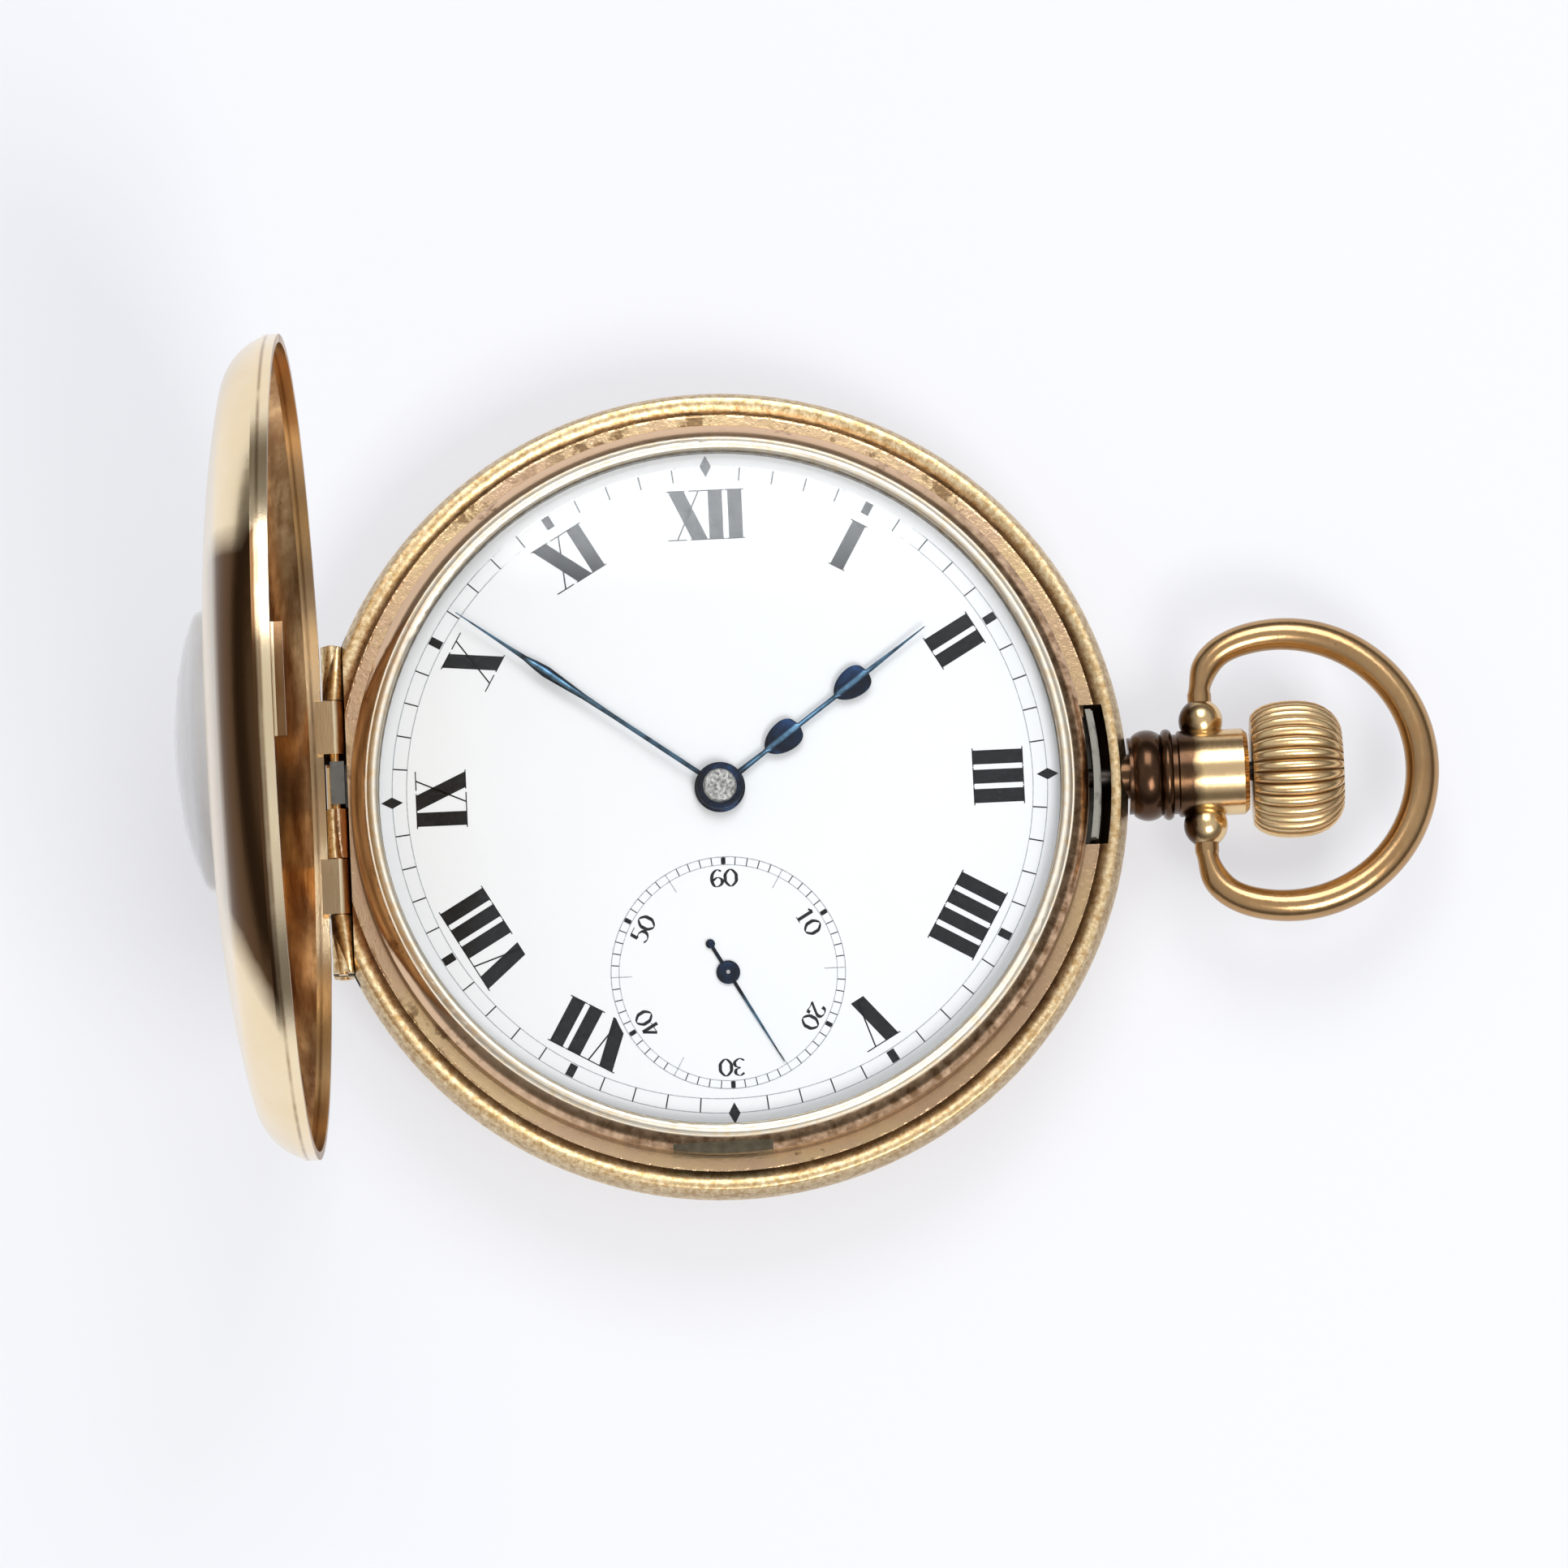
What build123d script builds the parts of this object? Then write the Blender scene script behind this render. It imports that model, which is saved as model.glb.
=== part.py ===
from build123d import *
from math import acos, atan2, cos, degrees, hypot, pi, radians, sin, sqrt
import os

# Half hunter pocket watch lying on its back, dial up, front cover open.
# Millimetres. Origin on the dial axis at the resting plane, +Y to 12, +X to the crown.
os.makedirs("parts", exist_ok=True)

# Fits and cutting
fit = 0.03
gap = 0.1
room = 0.3
overrun = 1.0

# Case band
case_r = 25.5
band_mid_z = 6.35
band_height = 2.9
band_bulge = 0.5
band_wall = 2.8
band_ledge = 1.2
dial_step = 0.75
bezel_ledge = 2.55
inner_ledge = 2.3
cover_r = case_r - band_bulge
rim_height = 0.9
rim_wall = 0.5
front_z = band_mid_z + band_height / 2
back_z = band_mid_z - band_height / 2
spring_bore_r = cover_r - band_wall
plate_bore_r = spring_bore_r - band_ledge
dial_bore_r = plate_bore_r + dial_step
plate_ledge = 0.6
plate_ledge_z = 6.4
bezel_seat_r = cover_r - bezel_ledge
bezel_seat_z = 8.95
inner_seat_r = cover_r - inner_ledge
inner_seat_z = 4.2

# Front and back hinges of the case, both along Y at nine o'clock
hinge_inset = 1.1
hinge_x = hinge_inset - cover_r
knuckle_r = 0.65
hinge_pin_r = 0.3
hinge_half = 10.3
knuckle_relief = 0.08
front_hinge_z = front_z - knuckle_r
back_hinge_z = back_z + 0.05
case_knuckle_shares = [(-1.0, -0.65), (-0.3, 0.0), (0.67, 1.0)]
lid_knuckle_shares = [(-0.65, -0.3), (0.33, 0.67)]
back_knuckle_shares = [(-0.65, -0.3), (0.3, 0.65)]
back_case_shares = [(-1.0, -0.65), (0.65, 1.0)]
inner_knuckle_shares = [(-0.3, 0.3)]

# Front cover with its window
lid_open_angle = 91.7
lid_dome = 4.9
lid_wall = 0.45
lid_groove = 0.15
window_r = 8.6
window_flange_r = 9.1
window_flange = 0.35
window_ring_r = 9.6
window_ring = 0.3
window_shoulder = 1.1
window_crown = 1.9
window_glass = 0.7
catch_half = 3.4
catch_wall = 0.35
catch_inset = 0.8
catch_outer_r = cover_r - catch_inset
catch_inner_r = catch_outer_r - catch_wall
catch_drop = 0.7

# Back covers
back_lip_angle = -35
rest_r = 11.5
inner_overhang = 0.4
inner_cover_r = inner_seat_r + inner_overhang
inner_dome = 2.3
inner_wall = 0.4

# Bezel and crystal
bezel_wall = 0.5
bezel_lip = 0.75
crystal_overlap = 0.4
bezel_r = bezel_seat_r + bezel_wall
bezel_top_z = 10.45
bezel_lip_r = bezel_seat_r - bezel_wall
bezel_bore_r = bezel_lip_r - bezel_lip
crystal_r = bezel_bore_r + crystal_overlap
crystal_seat_z = 9.7
crystal_edge = 0.45
crystal_crown = 1.6
crystal_wall = 0.7
lift_notch_angle = -92
lift_notch_half = 2.1
lift_notch_depth = 0.5

# Pendant, crown and bow
neck_r = 1.4
collar_x = case_r + room
collar_r = 2.85
collar_length = 2.5
collar_groove = 0.35
saddle_reach = 0.6
collar_ring_shares = [(0.0, 0.72), (0.72, 1.0)]
tube_r = 2.7
tube_length = 7.2
tube_end_x = collar_x + tube_length
tube_bore_r = 2.0
ball_r = 1.38
ball_y = 3.3
bow_inset = 2.8
bow_ring_reach = 5.1
bow_x = tube_end_x - bow_inset
bow_ring_x = bow_x + bow_ring_reach
bow_ring_r = 8.6
bow_wire_r = 1.05
bow_tip_r = 0.75
bow_tip_y = 2.85
bow_seat_y = 2.75
bow_bend_share = 0.384
bow_taper_share = 4.0
bow_sections = 28
crown_gap = 0.25
crown_x = tube_end_x + crown_gap
crown_length = 5.65
crown_r = 4.3
crown_ribs = 32
crown_rib_depth = 0.35
crown_flat_share = 0.62
crown_base_share = 0.78
crown_groove_share = 0.5
stem_r = 0.6
stem_pilot = 1.75
sleeve_wall = 0.5
detent_width = 0.5

# Movement, seen from the back: bridges, train space, main plate, motion works, dial
bridge_z = 3.1
bridge_thick = 0.9
train_z = 4.0
plate_z = 6.4
plate_top_z = 7.5
plate_slack = 0.2
plate_flange = 2.3
plate_r = plate_bore_r - plate_slack
leg_r = plate_r - plate_flange
dial_z = 8.25
dial_top_z = 8.85
dial_r = dial_bore_r - plate_slack

# Places of the arbors
barrel_distance = 9.5
seconds_y = -11.6
crown_wheel_x = 8.9
balance_x = 8.0
balance_y = -10.8
minute_wheel_x = 3.6
arbor_r = 0.25
pivot_r = 0.12
jewel_r = 0.75
jewel_thick = 0.35

# Tooth counts
barrel_teeth = 72
centre_leaves = 12
centre_teeth = 80
third_leaves = 10
third_teeth = 75
fourth_leaves = 10
fourth_teeth = 80
escape_leaves = 8
escape_teeth = 15
cannon_leaves = 12
minute_teeth = 36
minute_leaves = 10
hour_teeth = 40
winding_teeth = 10
crown_wheel_teeth = 30
ratchet_teeth = 52

# Hands
hour_hand_z = 9.3
minute_hand_z = 9.65
seconds_hand_z = 8.97
hand_thick = 0.2
hour_hand_length = 16.3
minute_hand_length = 19.8
seconds_hand_length = 6.6
hour_angle = 35.9
minute_angle = 143.7
seconds_angle = -60.6


def polar(radius, angle, centre=(0, 0)):
    """A point at this radius and angle in degrees round a centre."""
    x = centre[0] + radius * cos(radians(angle))
    y = centre[1] + radius * sin(radians(angle))
    return (x, y)


def finish(part, name):
    """Label a finished piece and write it."""
    part.label = name
    export_step(part, f"parts/{name}.step")


def tooth_points(teeth, pitch_r, phase, add_share=0.9, ded_share=1.25, top_share=0.11, root_share=0.2):
    """Corners of a toothed outline: flat tips, tapered flanks, and a tooth centred on the phase."""
    module = 2 * pitch_r / teeth
    step = 360 / teeth
    tip, root = pitch_r + add_share * module, pitch_r - ded_share * module
    points = []
    for number in range(teeth):
        middle = phase + number * step
        points += [
            polar(root, middle - root_share * step),
            polar(tip, middle - top_share * step),
            polar(tip, middle + top_share * step),
            polar(root, middle + root_share * step),
        ]
    return points


def wheel(centre, z, thick, teeth, pitch_r, phase, hub_r, bore_r, spokes=0, rim_share=0.84):
    """A toothed wheel round its own arbor, crossed out between its spokes where it has any."""
    with BuildPart() as body:
        with BuildSketch(Plane((centre[0], centre[1], z))):
            with BuildLine():
                Polyline(*tooth_points(teeth, pitch_r, phase), close=True)
            make_face()
            for number in range(spokes):
                turn = phase + number * 360 / spokes
                add(crossing(hub_r, rim_share * pitch_r, 360 / spokes, turn), mode=Mode.SUBTRACT)
            Circle(bore_r, mode=Mode.SUBTRACT)
        extrude(amount=thick)
    return body.part


def crossing(inner_r, outer_r, angle, turn, spoke_share=0.14, narrow_share=0.7):
    """One opening between two spokes of a wheel, turned to its place."""
    reach = angle / 2 * (1 - spoke_share * 2)
    near = reach * narrow_share
    with BuildSketch() as opening:
        with BuildLine():
            ThreePointArc(polar(outer_r, turn - reach), polar(outer_r, turn), polar(outer_r, turn + reach))
            ThreePointArc(polar(inner_r, turn - near), polar(inner_r, turn), polar(inner_r, turn + near))
            Line(polar(outer_r, turn - reach), polar(inner_r, turn - near))
            Line(polar(outer_r, turn + reach), polar(inner_r, turn + near))
        make_face()
    return opening.sketch


def along_y(x, y, z):
    """A sketch plane that faces +Y, with its own X along X and its own Y down."""
    return Plane(origin=(x, y, z), x_dir=(1, 0, 0), z_dir=(0, 1, 0))


def along_x(x, y=0, z=band_mid_z):
    """A sketch plane that faces +X, with its own X along Y and its own Y up."""
    return Plane(origin=(x, y, z), x_dir=(0, 1, 0), z_dir=(1, 0, 0))


def polar_plane(radius, angle, z):
    """A sketch plane that faces away from the axis of the watch, with its own X along the rim."""
    x, y = polar(radius, angle)
    side = (-sin(radians(angle)), cos(radians(angle)), 0)
    return Plane(origin=(x, y, z), x_dir=side, z_dir=(cos(radians(angle)), sin(radians(angle)), 0))


def knuckles(shares, z, radius, slack=0, side=0, reach=0):
    """Hinge knuckles along Y. Where a side is given, a web joins each one to its cover or to the band."""
    with BuildPart() as body:
        for start, end in shares:
            low, high = start * hinge_half + slack, end * hinge_half - slack
            with BuildSketch(along_y(hinge_x, low, z)):
                Circle(radius)
                if side:
                    with Locations((0, -side * reach / 2)):
                        Rectangle(2 * radius, reach)
            extrude(amount=high - low)
    return body.part


def crown_point(radius, edge_z, rise):
    """A point half way out on the sphere through the axis at this rise and the edge at this radius."""
    sphere_r = (radius**2 + rise**2) / (2 * rise)
    return (radius / 2, edge_z + rise - sphere_r + sqrt(sphere_r**2 - (radius / 2) ** 2))


def cover(rim, shoulder, via, middle, wall):
    """A domed cover turned from its rim, its shoulder, a point of its dome and what closes the dome."""
    with BuildPart() as body:
        with BuildSketch(Plane.XZ):
            with BuildLine():
                Polyline(*rim)
                top = ThreePointArc(middle[0], via, shoulder)
                TangentArc(shoulder, rim[-1], tangent=top % 1)
                Polyline(*middle)
                inner_via = (via[0], via[1] - wall)
                inner_shoulder = (shoulder[0] - abs(wall) / 2, shoulder[1] - wall)
                under = ThreePointArc(middle[-1], inner_via, inner_shoulder)
                TangentArc(inner_shoulder, rim[0], tangent=under % 1)
            make_face()
        revolve(axis=Axis.Z)
    return body.part


# Screws of the two case springs
spring_z = 5.15
spring_top_z = 6.3
spring_screws_deg = (-38, 133)
spring_screw_r = 0.25
spring_screw_head_r = 0.5
spring_screw_slack = 0.2
lock_press_room = 0.2


def radial_hole(angle, radius, start_r, end_r):
    """A round tool that points away from the axis at the height of the springs."""
    with BuildPart() as tool:
        with BuildSketch(polar_plane(start_r, angle, (spring_z + spring_top_z) / 2)):
            Circle(radius)
        extrude(amount=end_r - start_r)
    return tool.part


# Case middle: a band with a ledge for each cover, a ring for the bezel and a ring for the inner cover
wall_r = cover_r
with BuildPart() as case_middle:
    with BuildSketch(Plane.XZ):
        with BuildLine():
            Polyline(
                (wall_r, front_z),
                (bezel_seat_r, front_z),
                (bezel_seat_r, bezel_seat_z),
                (dial_bore_r, bezel_seat_z),
                (dial_bore_r, plate_ledge_z + plate_ledge),
                (plate_bore_r, plate_ledge_z + plate_ledge),
                (plate_bore_r, plate_ledge_z),
                (spring_bore_r, plate_ledge_z),
                (spring_bore_r, inner_seat_z),
                (inner_seat_r, inner_seat_z),
                (inner_seat_r, back_z),
                (wall_r, back_z),
            )
            ThreePointArc((wall_r, back_z), (case_r, band_mid_z), (wall_r, front_z))
        make_face()
    revolve(axis=Axis.Z)
    # Recesses of the two hinge tubes, open to the outside of the band
    recess = knuckle_r + knuckle_relief
    recess_x = hinge_x + recess
    recess_length = 2 * hinge_half + 2 * knuckle_relief
    for hinge_z, edge_z in ((front_hinge_z, front_z), (back_hinge_z, back_z)):
        floor_z = hinge_z - recess if edge_z > hinge_z else hinge_z + recess
        with Locations((recess_x, 0, floor_z)):
            Box(
                case_r + recess_x + overrun,
                recess_length,
                band_height,
                align=(Align.MAX, Align.CENTER, Align.MIN if edge_z > hinge_z else Align.MAX),
                mode=Mode.SUBTRACT,
            )
    add(knuckles(case_knuckle_shares, front_hinge_z, knuckle_r, 0, -1, knuckle_r + gap))
    add(knuckles(back_case_shares, back_hinge_z, knuckle_r, 0, 1, knuckle_r + gap))
    add(knuckles([(-1, 1)], front_hinge_z, hinge_pin_r, -overrun), mode=Mode.SUBTRACT)
    add(knuckles([(-1, 1)], back_hinge_z, hinge_pin_r, -overrun), mode=Mode.SUBTRACT)
    # Slot where the lock spring stands and the catch of the front cover comes down
    lock_half_angle = 10.4
    lock_slot_wall = 0.6
    lock_lip_inset = 1.7
    lock_slot_r = cover_r - lock_slot_wall
    lock_slot_z = 5.1
    lock_lip_inner_r = cover_r - lock_lip_inset
    lock_slot_half = lock_slot_r * sin(radians(lock_half_angle))
    with BuildSketch(Plane.XY.offset(lock_slot_z)):
        Circle(lock_slot_r)
        with Locations((lock_slot_r, 0)):
            Rectangle(lock_slot_r, 2 * lock_slot_half, mode=Mode.INTERSECT)
        Circle(lock_lip_inner_r - room, mode=Mode.SUBTRACT)
    extrude(amount=front_z - lock_slot_z, mode=Mode.SUBTRACT)
    with BuildSketch(Plane.XY.offset(lock_slot_z)):
        Circle(lock_lip_inner_r)
        with Locations((lock_slot_r, 0)):
            Rectangle(lock_slot_r, 2 * lock_slot_half, mode=Mode.INTERSECT)
        Circle(plate_bore_r, mode=Mode.SUBTRACT)
    extrude(amount=plate_ledge_z - lock_slot_z, mode=Mode.SUBTRACT)
    # Bore for the neck of the pendant, and a hole for the tip of the lift spring
    with BuildSketch(along_x(plate_bore_r - overrun)):
        Circle(stem_r + room)
    extrude(amount=lock_slot_r - plate_bore_r + 2 * overrun, mode=Mode.SUBTRACT)
    with BuildSketch(along_x(lock_slot_r - gap)):
        Circle(neck_r)
    extrude(amount=case_r - lock_slot_r + overrun, mode=Mode.SUBTRACT)
    for angle in spring_screws_deg:
        add(radial_hole(angle, spring_screw_r, plate_bore_r, bezel_r), mode=Mode.SUBTRACT)
    lift_tip_low = 0.3
    lift_tip_high = 3.0
    lift_gap_x = hinge_x - knuckle_r
    with BuildSketch(Plane.XY.offset(plate_ledge_z - overrun)):
        with Locations((lift_gap_x, (lift_tip_low + lift_tip_high) / 2)):
            Rectangle(
                -lift_gap_x - plate_bore_r,
                lift_tip_high - lift_tip_low + 2 * gap,
                align=(Align.MIN, Align.CENTER),
            )
        Circle(plate_bore_r, mode=Mode.SUBTRACT)
        Circle(spring_bore_r - 2 * room, mode=Mode.SUBTRACT)
    extrude(amount=front_hinge_z - recess - plate_ledge_z + 2 * overrun, mode=Mode.SUBTRACT)
finish(case_middle.part, "case_middle")


def trimmed_at_hinge(hinge_z, others, up):
    """What a cover leaves out at its hinge: the edge past the tube, and room round the other knuckles."""
    with BuildPart() as cut:
        with Locations((hinge_x - knuckle_r, 0, hinge_z)):
            Box(case_r, 2 * case_r, 2 * case_r, align=(Align.MAX, Align.CENTER, Align.CENTER))
        for start, end in others:
            low = start * hinge_half - knuckle_relief
            high = end * hinge_half + knuckle_relief
            with Locations((hinge_x, low, hinge_z)):
                Box(
                    2 * recess,
                    high - low,
                    recess,
                    align=(Align.CENTER, Align.MIN, Align.MIN if up else Align.MAX),
                )
            with BuildSketch(along_y(hinge_x, low, hinge_z)):
                Circle(recess)
            extrude(amount=high - low)
    return cut.part


def hinge_turn(angle):
    """The turn of the front cover about its hinge, from closed to this many degrees open."""
    return Location((hinge_x, 0, front_hinge_z), (0, -angle, 0)) * Location((-hinge_x, 0, -front_hinge_z))


# Front cover, drawn closed and then turned open about its hinge
lid_z = front_z + fit
lid_top_z = lid_z + lid_dome
lid_groove_z = lid_z + rim_height
shoulder_r_share, shoulder_z_share = 0.885, 0.71
via_r_share, via_z_share = 0.64, 0.93
lid_shell = cover(
    [
        (cover_r - rim_wall, lid_groove_z),
        (cover_r - rim_wall, lid_z),
        (cover_r, lid_z),
        (cover_r, lid_groove_z),
        (cover_r - lid_groove, lid_groove_z),
        (cover_r - lid_groove, lid_groove_z + lid_groove),
    ],
    (shoulder_r_share * cover_r, lid_z + shoulder_z_share * lid_dome),
    (via_r_share * cover_r, lid_z + via_z_share * lid_dome),
    [(window_r, lid_top_z), (window_r, lid_top_z - lid_wall)],
    lid_wall,
)
with BuildPart() as closed_lid:
    add(lid_shell)
    add(trimmed_at_hinge(front_hinge_z, case_knuckle_shares, True), mode=Mode.SUBTRACT)
    add(trimmed_at_hinge(front_hinge_z, [(0.0, 0.33)], True), mode=Mode.SUBTRACT)
    lid_web = knuckle_r + rim_height / 2
    add(knuckles(lid_knuckle_shares, front_hinge_z, knuckle_r, knuckle_relief, 1, lid_web))
    add(knuckles([(-1, 1)], front_hinge_z, hinge_pin_r + fit, -overrun), mode=Mode.SUBTRACT)
    # Catch that comes down into the slot in front of the lock spring
    with BuildSketch(Plane.XY.offset(lid_z - catch_drop)):
        Circle(catch_outer_r)
        Circle(catch_inner_r, mode=Mode.SUBTRACT)
        with Locations((catch_outer_r, 0)):
            Rectangle(catch_outer_r, 2 * catch_half, mode=Mode.INTERSECT)
    extrude(amount=catch_drop + rim_height)
    with BuildSketch(Plane.XY.offset(lid_z + rim_height / 2)):
        Circle(cover_r - rim_wall / 2)
        Circle(catch_outer_r - gap, mode=Mode.SUBTRACT)
        with Locations((catch_outer_r, 0)):
            Rectangle(catch_outer_r, 2 * catch_half, mode=Mode.INTERSECT)
    extrude(amount=rim_height / 2)
front_lid = hinge_turn(lid_open_angle) * closed_lid.part
finish(front_lid, "front_lid")

# Window glass: a flange under the dome, a shoulder through the hole and a low crown
glass_seat_z = lid_top_z - lid_wall - window_flange
glass_top_z = lid_top_z + window_crown
glass_shoulder = (window_r - fit, lid_top_z + window_shoulder / 2)
glass_inner = (window_r - window_glass, lid_top_z + window_shoulder / 2 - window_glass)
with BuildPart() as closed_glass:
    with BuildSketch(Plane.XZ):
        with BuildLine():
            flange = [
                (window_flange_r, glass_seat_z),
                (window_flange_r, glass_seat_z + window_flange - fit),
                (window_r - fit, glass_seat_z + window_flange - fit),
                glass_shoulder,
            ]
            Polyline(*flange)
            glass_rise = glass_top_z - glass_shoulder[1]
            ThreePointArc(
                glass_shoulder,
                crown_point(glass_shoulder[0], glass_shoulder[1], glass_rise),
                (0, glass_top_z),
            )
            Line((0, glass_top_z), (0, glass_top_z - window_glass))
            ThreePointArc(
                (0, glass_top_z - window_glass),
                crown_point(glass_inner[0], glass_inner[1], glass_rise),
                glass_inner,
            )
            Polyline(glass_inner, (glass_inner[0], glass_seat_z), flange[0])
        make_face()
    revolve(axis=Axis.Z)
lid_window_glass = hinge_turn(lid_open_angle) * closed_glass.part
finish(lid_window_glass, "lid_window_glass")

# Ring under the dome that holds the glass up in its hole
with BuildPart() as closed_ring:
    with BuildSketch(Plane.XY.offset(glass_seat_z - window_ring)):
        Circle(window_ring_r)
        Circle(window_r - window_glass, mode=Mode.SUBTRACT)
    extrude(amount=window_ring)
lid_window_ring = hinge_turn(lid_open_angle) * closed_ring.part
finish(lid_window_ring, "lid_window_ring")

# Back cover: a flat to rest on, a dome and a rim that seats on the band
back_rim_z = back_z - fit
back_edge_z = back_rim_z - rim_height
back_shoulder_share, back_via_share = 0.36, 0.13
with BuildPart() as back_cover:
    add(
        cover(
            [
                (cover_r - rim_wall, back_edge_z),
                (cover_r - rim_wall, back_rim_z),
                (cover_r, back_rim_z),
                (cover_r, back_edge_z),
                (cover_r - lid_groove, back_edge_z),
                (cover_r - lid_groove, back_edge_z - lid_groove),
            ],
            (shoulder_r_share * cover_r, back_shoulder_share * back_edge_z),
            ((rest_r + cover_r) / 2, back_via_share * back_edge_z),
            [(rest_r, 0), (0, 0), (0, rim_wall), (rest_r, rim_wall)],
            -rim_wall,
        )
    )
    others = back_case_shares + inner_knuckle_shares
    add(trimmed_at_hinge(back_hinge_z, others, False), mode=Mode.SUBTRACT)
    add(knuckles(back_knuckle_shares, back_hinge_z, knuckle_r, knuckle_relief, -1, rim_height))
    add(knuckles([(-1, 1)], back_hinge_z, hinge_pin_r + fit, -overrun), mode=Mode.SUBTRACT)
    # Thumbnail lip at five o'clock
    with BuildSketch(polar_plane(cover_r - rim_wall, back_lip_angle, back_rim_z - rim_height / 2)):
        SlotOverall(2 * lift_notch_half, rim_height / 2)
    extrude(amount=rim_wall + lift_notch_depth / 2)
finish(back_cover.part, "back_cover")

# Inner cover over the movement: a shallow pan whose rim fits round its seat
inner_rim_z = back_z - gap
inner_edge_z = inner_seat_z - gap
inner_low_z = inner_edge_z - inner_wall - inner_dome
inner_shoulder_share, inner_via_share = 0.3, 0.1
with BuildPart() as inner_cover:
    add(
        cover(
            [
                (inner_seat_r - inner_wall, inner_edge_z),
                (inner_seat_r + gap / 2, inner_edge_z),
                (inner_seat_r + gap / 2, inner_rim_z),
                (inner_cover_r, inner_rim_z),
                (inner_cover_r, inner_edge_z - inner_wall),
            ],
            (shoulder_r_share * inner_cover_r, inner_low_z + inner_shoulder_share * inner_dome),
            ((rest_r + inner_cover_r) / 2, inner_low_z + inner_via_share * inner_dome),
            [
                (rest_r, inner_low_z),
                (0, inner_low_z),
                (0, inner_low_z + inner_wall),
                (rest_r, inner_low_z + inner_wall),
            ],
            -inner_wall,
        )
    )
    with Locations((hinge_x, 0, back_hinge_z)):
        Box(
            2 * recess,
            2 * hinge_half,
            2 * recess,
            mode=Mode.SUBTRACT,
        )
    add(knuckles(inner_knuckle_shares, back_hinge_z, knuckle_r, knuckle_relief))
    inner_web = inner_knuckle_shares[0][1] * hinge_half - knuckle_relief
    with Locations((hinge_x, 0, inner_edge_z)):
        Box(
            -hinge_x - inner_seat_r - gap,
            2 * inner_web,
            inner_rim_z - inner_edge_z,
            align=(Align.MIN, Align.CENTER, Align.MIN),
        )
    add(knuckles([(-1, 1)], back_hinge_z, hinge_pin_r + fit, -overrun), mode=Mode.SUBTRACT)
finish(inner_cover.part, "inner_cover")

# Bezel: snaps on the ring of the band, holds the crystal under its lip
lip_under_z = crystal_seat_z + crystal_edge
bezel_groove_z = lip_under_z + fit
bezel_shoulder_z = bezel_seat_z + room
with BuildPart() as bezel:
    with BuildSketch(Plane.XZ):
        with BuildLine():
            lip = ThreePointArc(
                (bezel_lip_r, bezel_groove_z),
                ((bezel_lip_r + bezel_bore_r) / 2, bezel_top_z),
                (bezel_bore_r, lip_under_z + fit),
            )
            ThreePointArc(
                (bezel_r, bezel_shoulder_z),
                ((bezel_r + bezel_lip_r) / 2 + gap, (bezel_shoulder_z + lip_under_z) / 2 + gap),
                (bezel_lip_r + gap, lip_under_z + fit),
            )
            Line((bezel_lip_r + gap, lip_under_z + fit), (bezel_lip_r, bezel_groove_z))
            Polyline(
                lip @ 1,
                (bezel_bore_r, lip_under_z),
                (crystal_r, lip_under_z),
                (crystal_r, crystal_seat_z),
                (bezel_bore_r, crystal_seat_z),
                (bezel_bore_r, bezel_seat_z),
                (bezel_seat_r, bezel_seat_z),
                (bezel_seat_r, front_z),
                (bezel_r, front_z),
                (bezel_r, bezel_shoulder_z),
            )
        make_face()
    revolve(axis=Axis.Z)
    # Thumbnail notch at six o'clock
    with BuildSketch(polar_plane(bezel_seat_r + gap, lift_notch_angle, front_z)):
        Rectangle(2 * lift_notch_half, 2 * lift_notch_depth)
    extrude(amount=overrun, mode=Mode.SUBTRACT)
finish(bezel.part, "bezel")

# Crystal: a low dome of glass with a flat edge
crystal_top_z = lip_under_z + crystal_crown
with BuildPart() as crystal:
    with BuildSketch(Plane.XZ):
        with BuildLine():
            Polyline(
                (bezel_bore_r - crystal_edge, crystal_seat_z),
                (crystal_r, crystal_seat_z),
                (crystal_r, lip_under_z),
                (bezel_bore_r - gap, lip_under_z),
            )
            ThreePointArc(
                (bezel_bore_r - gap, lip_under_z),
                crown_point(bezel_bore_r - gap, lip_under_z, crystal_crown),
                (0, crystal_top_z),
            )
            Line((0, crystal_top_z), (0, crystal_top_z - crystal_wall))
            under_crown = crystal_top_z - crystal_wall - crystal_seat_z
            ThreePointArc(
                (0, crystal_top_z - crystal_wall),
                crown_point(bezel_bore_r - crystal_edge, crystal_seat_z, under_crown),
                (bezel_bore_r - crystal_edge, crystal_seat_z),
            )
        make_face()
    revolve(axis=Axis.Z)
finish(crystal.part, "crystal")

# Hinge pins, driven in from six o'clock
for name, hinge_z in (("front_hinge_pin", front_hinge_z), ("back_hinge_pin", back_hinge_z)):
    with BuildPart() as hinge_pin:
        add(knuckles([(-1, 1)], hinge_z, hinge_pin_r, -gap))
    finish(hinge_pin.part, name)

# Saddle of the pendant: a short shoulder round its neck, hollowed to the roundness of the band
collar_end_x = collar_x + collar_length
groove_x = collar_end_x + room
collar_low_r = collar_r - collar_groove
with BuildPart() as saddle:
    with BuildSketch(along_x(collar_x - saddle_reach)):
        Circle(collar_low_r - gap)
        Circle(neck_r - gap, mode=Mode.SUBTRACT)
    extrude(amount=saddle_reach + collar_groove)
    with BuildSketch(Plane.XY):
        Circle(case_r + gap)
    extrude(amount=2 * band_mid_z, mode=Mode.SUBTRACT)

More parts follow.
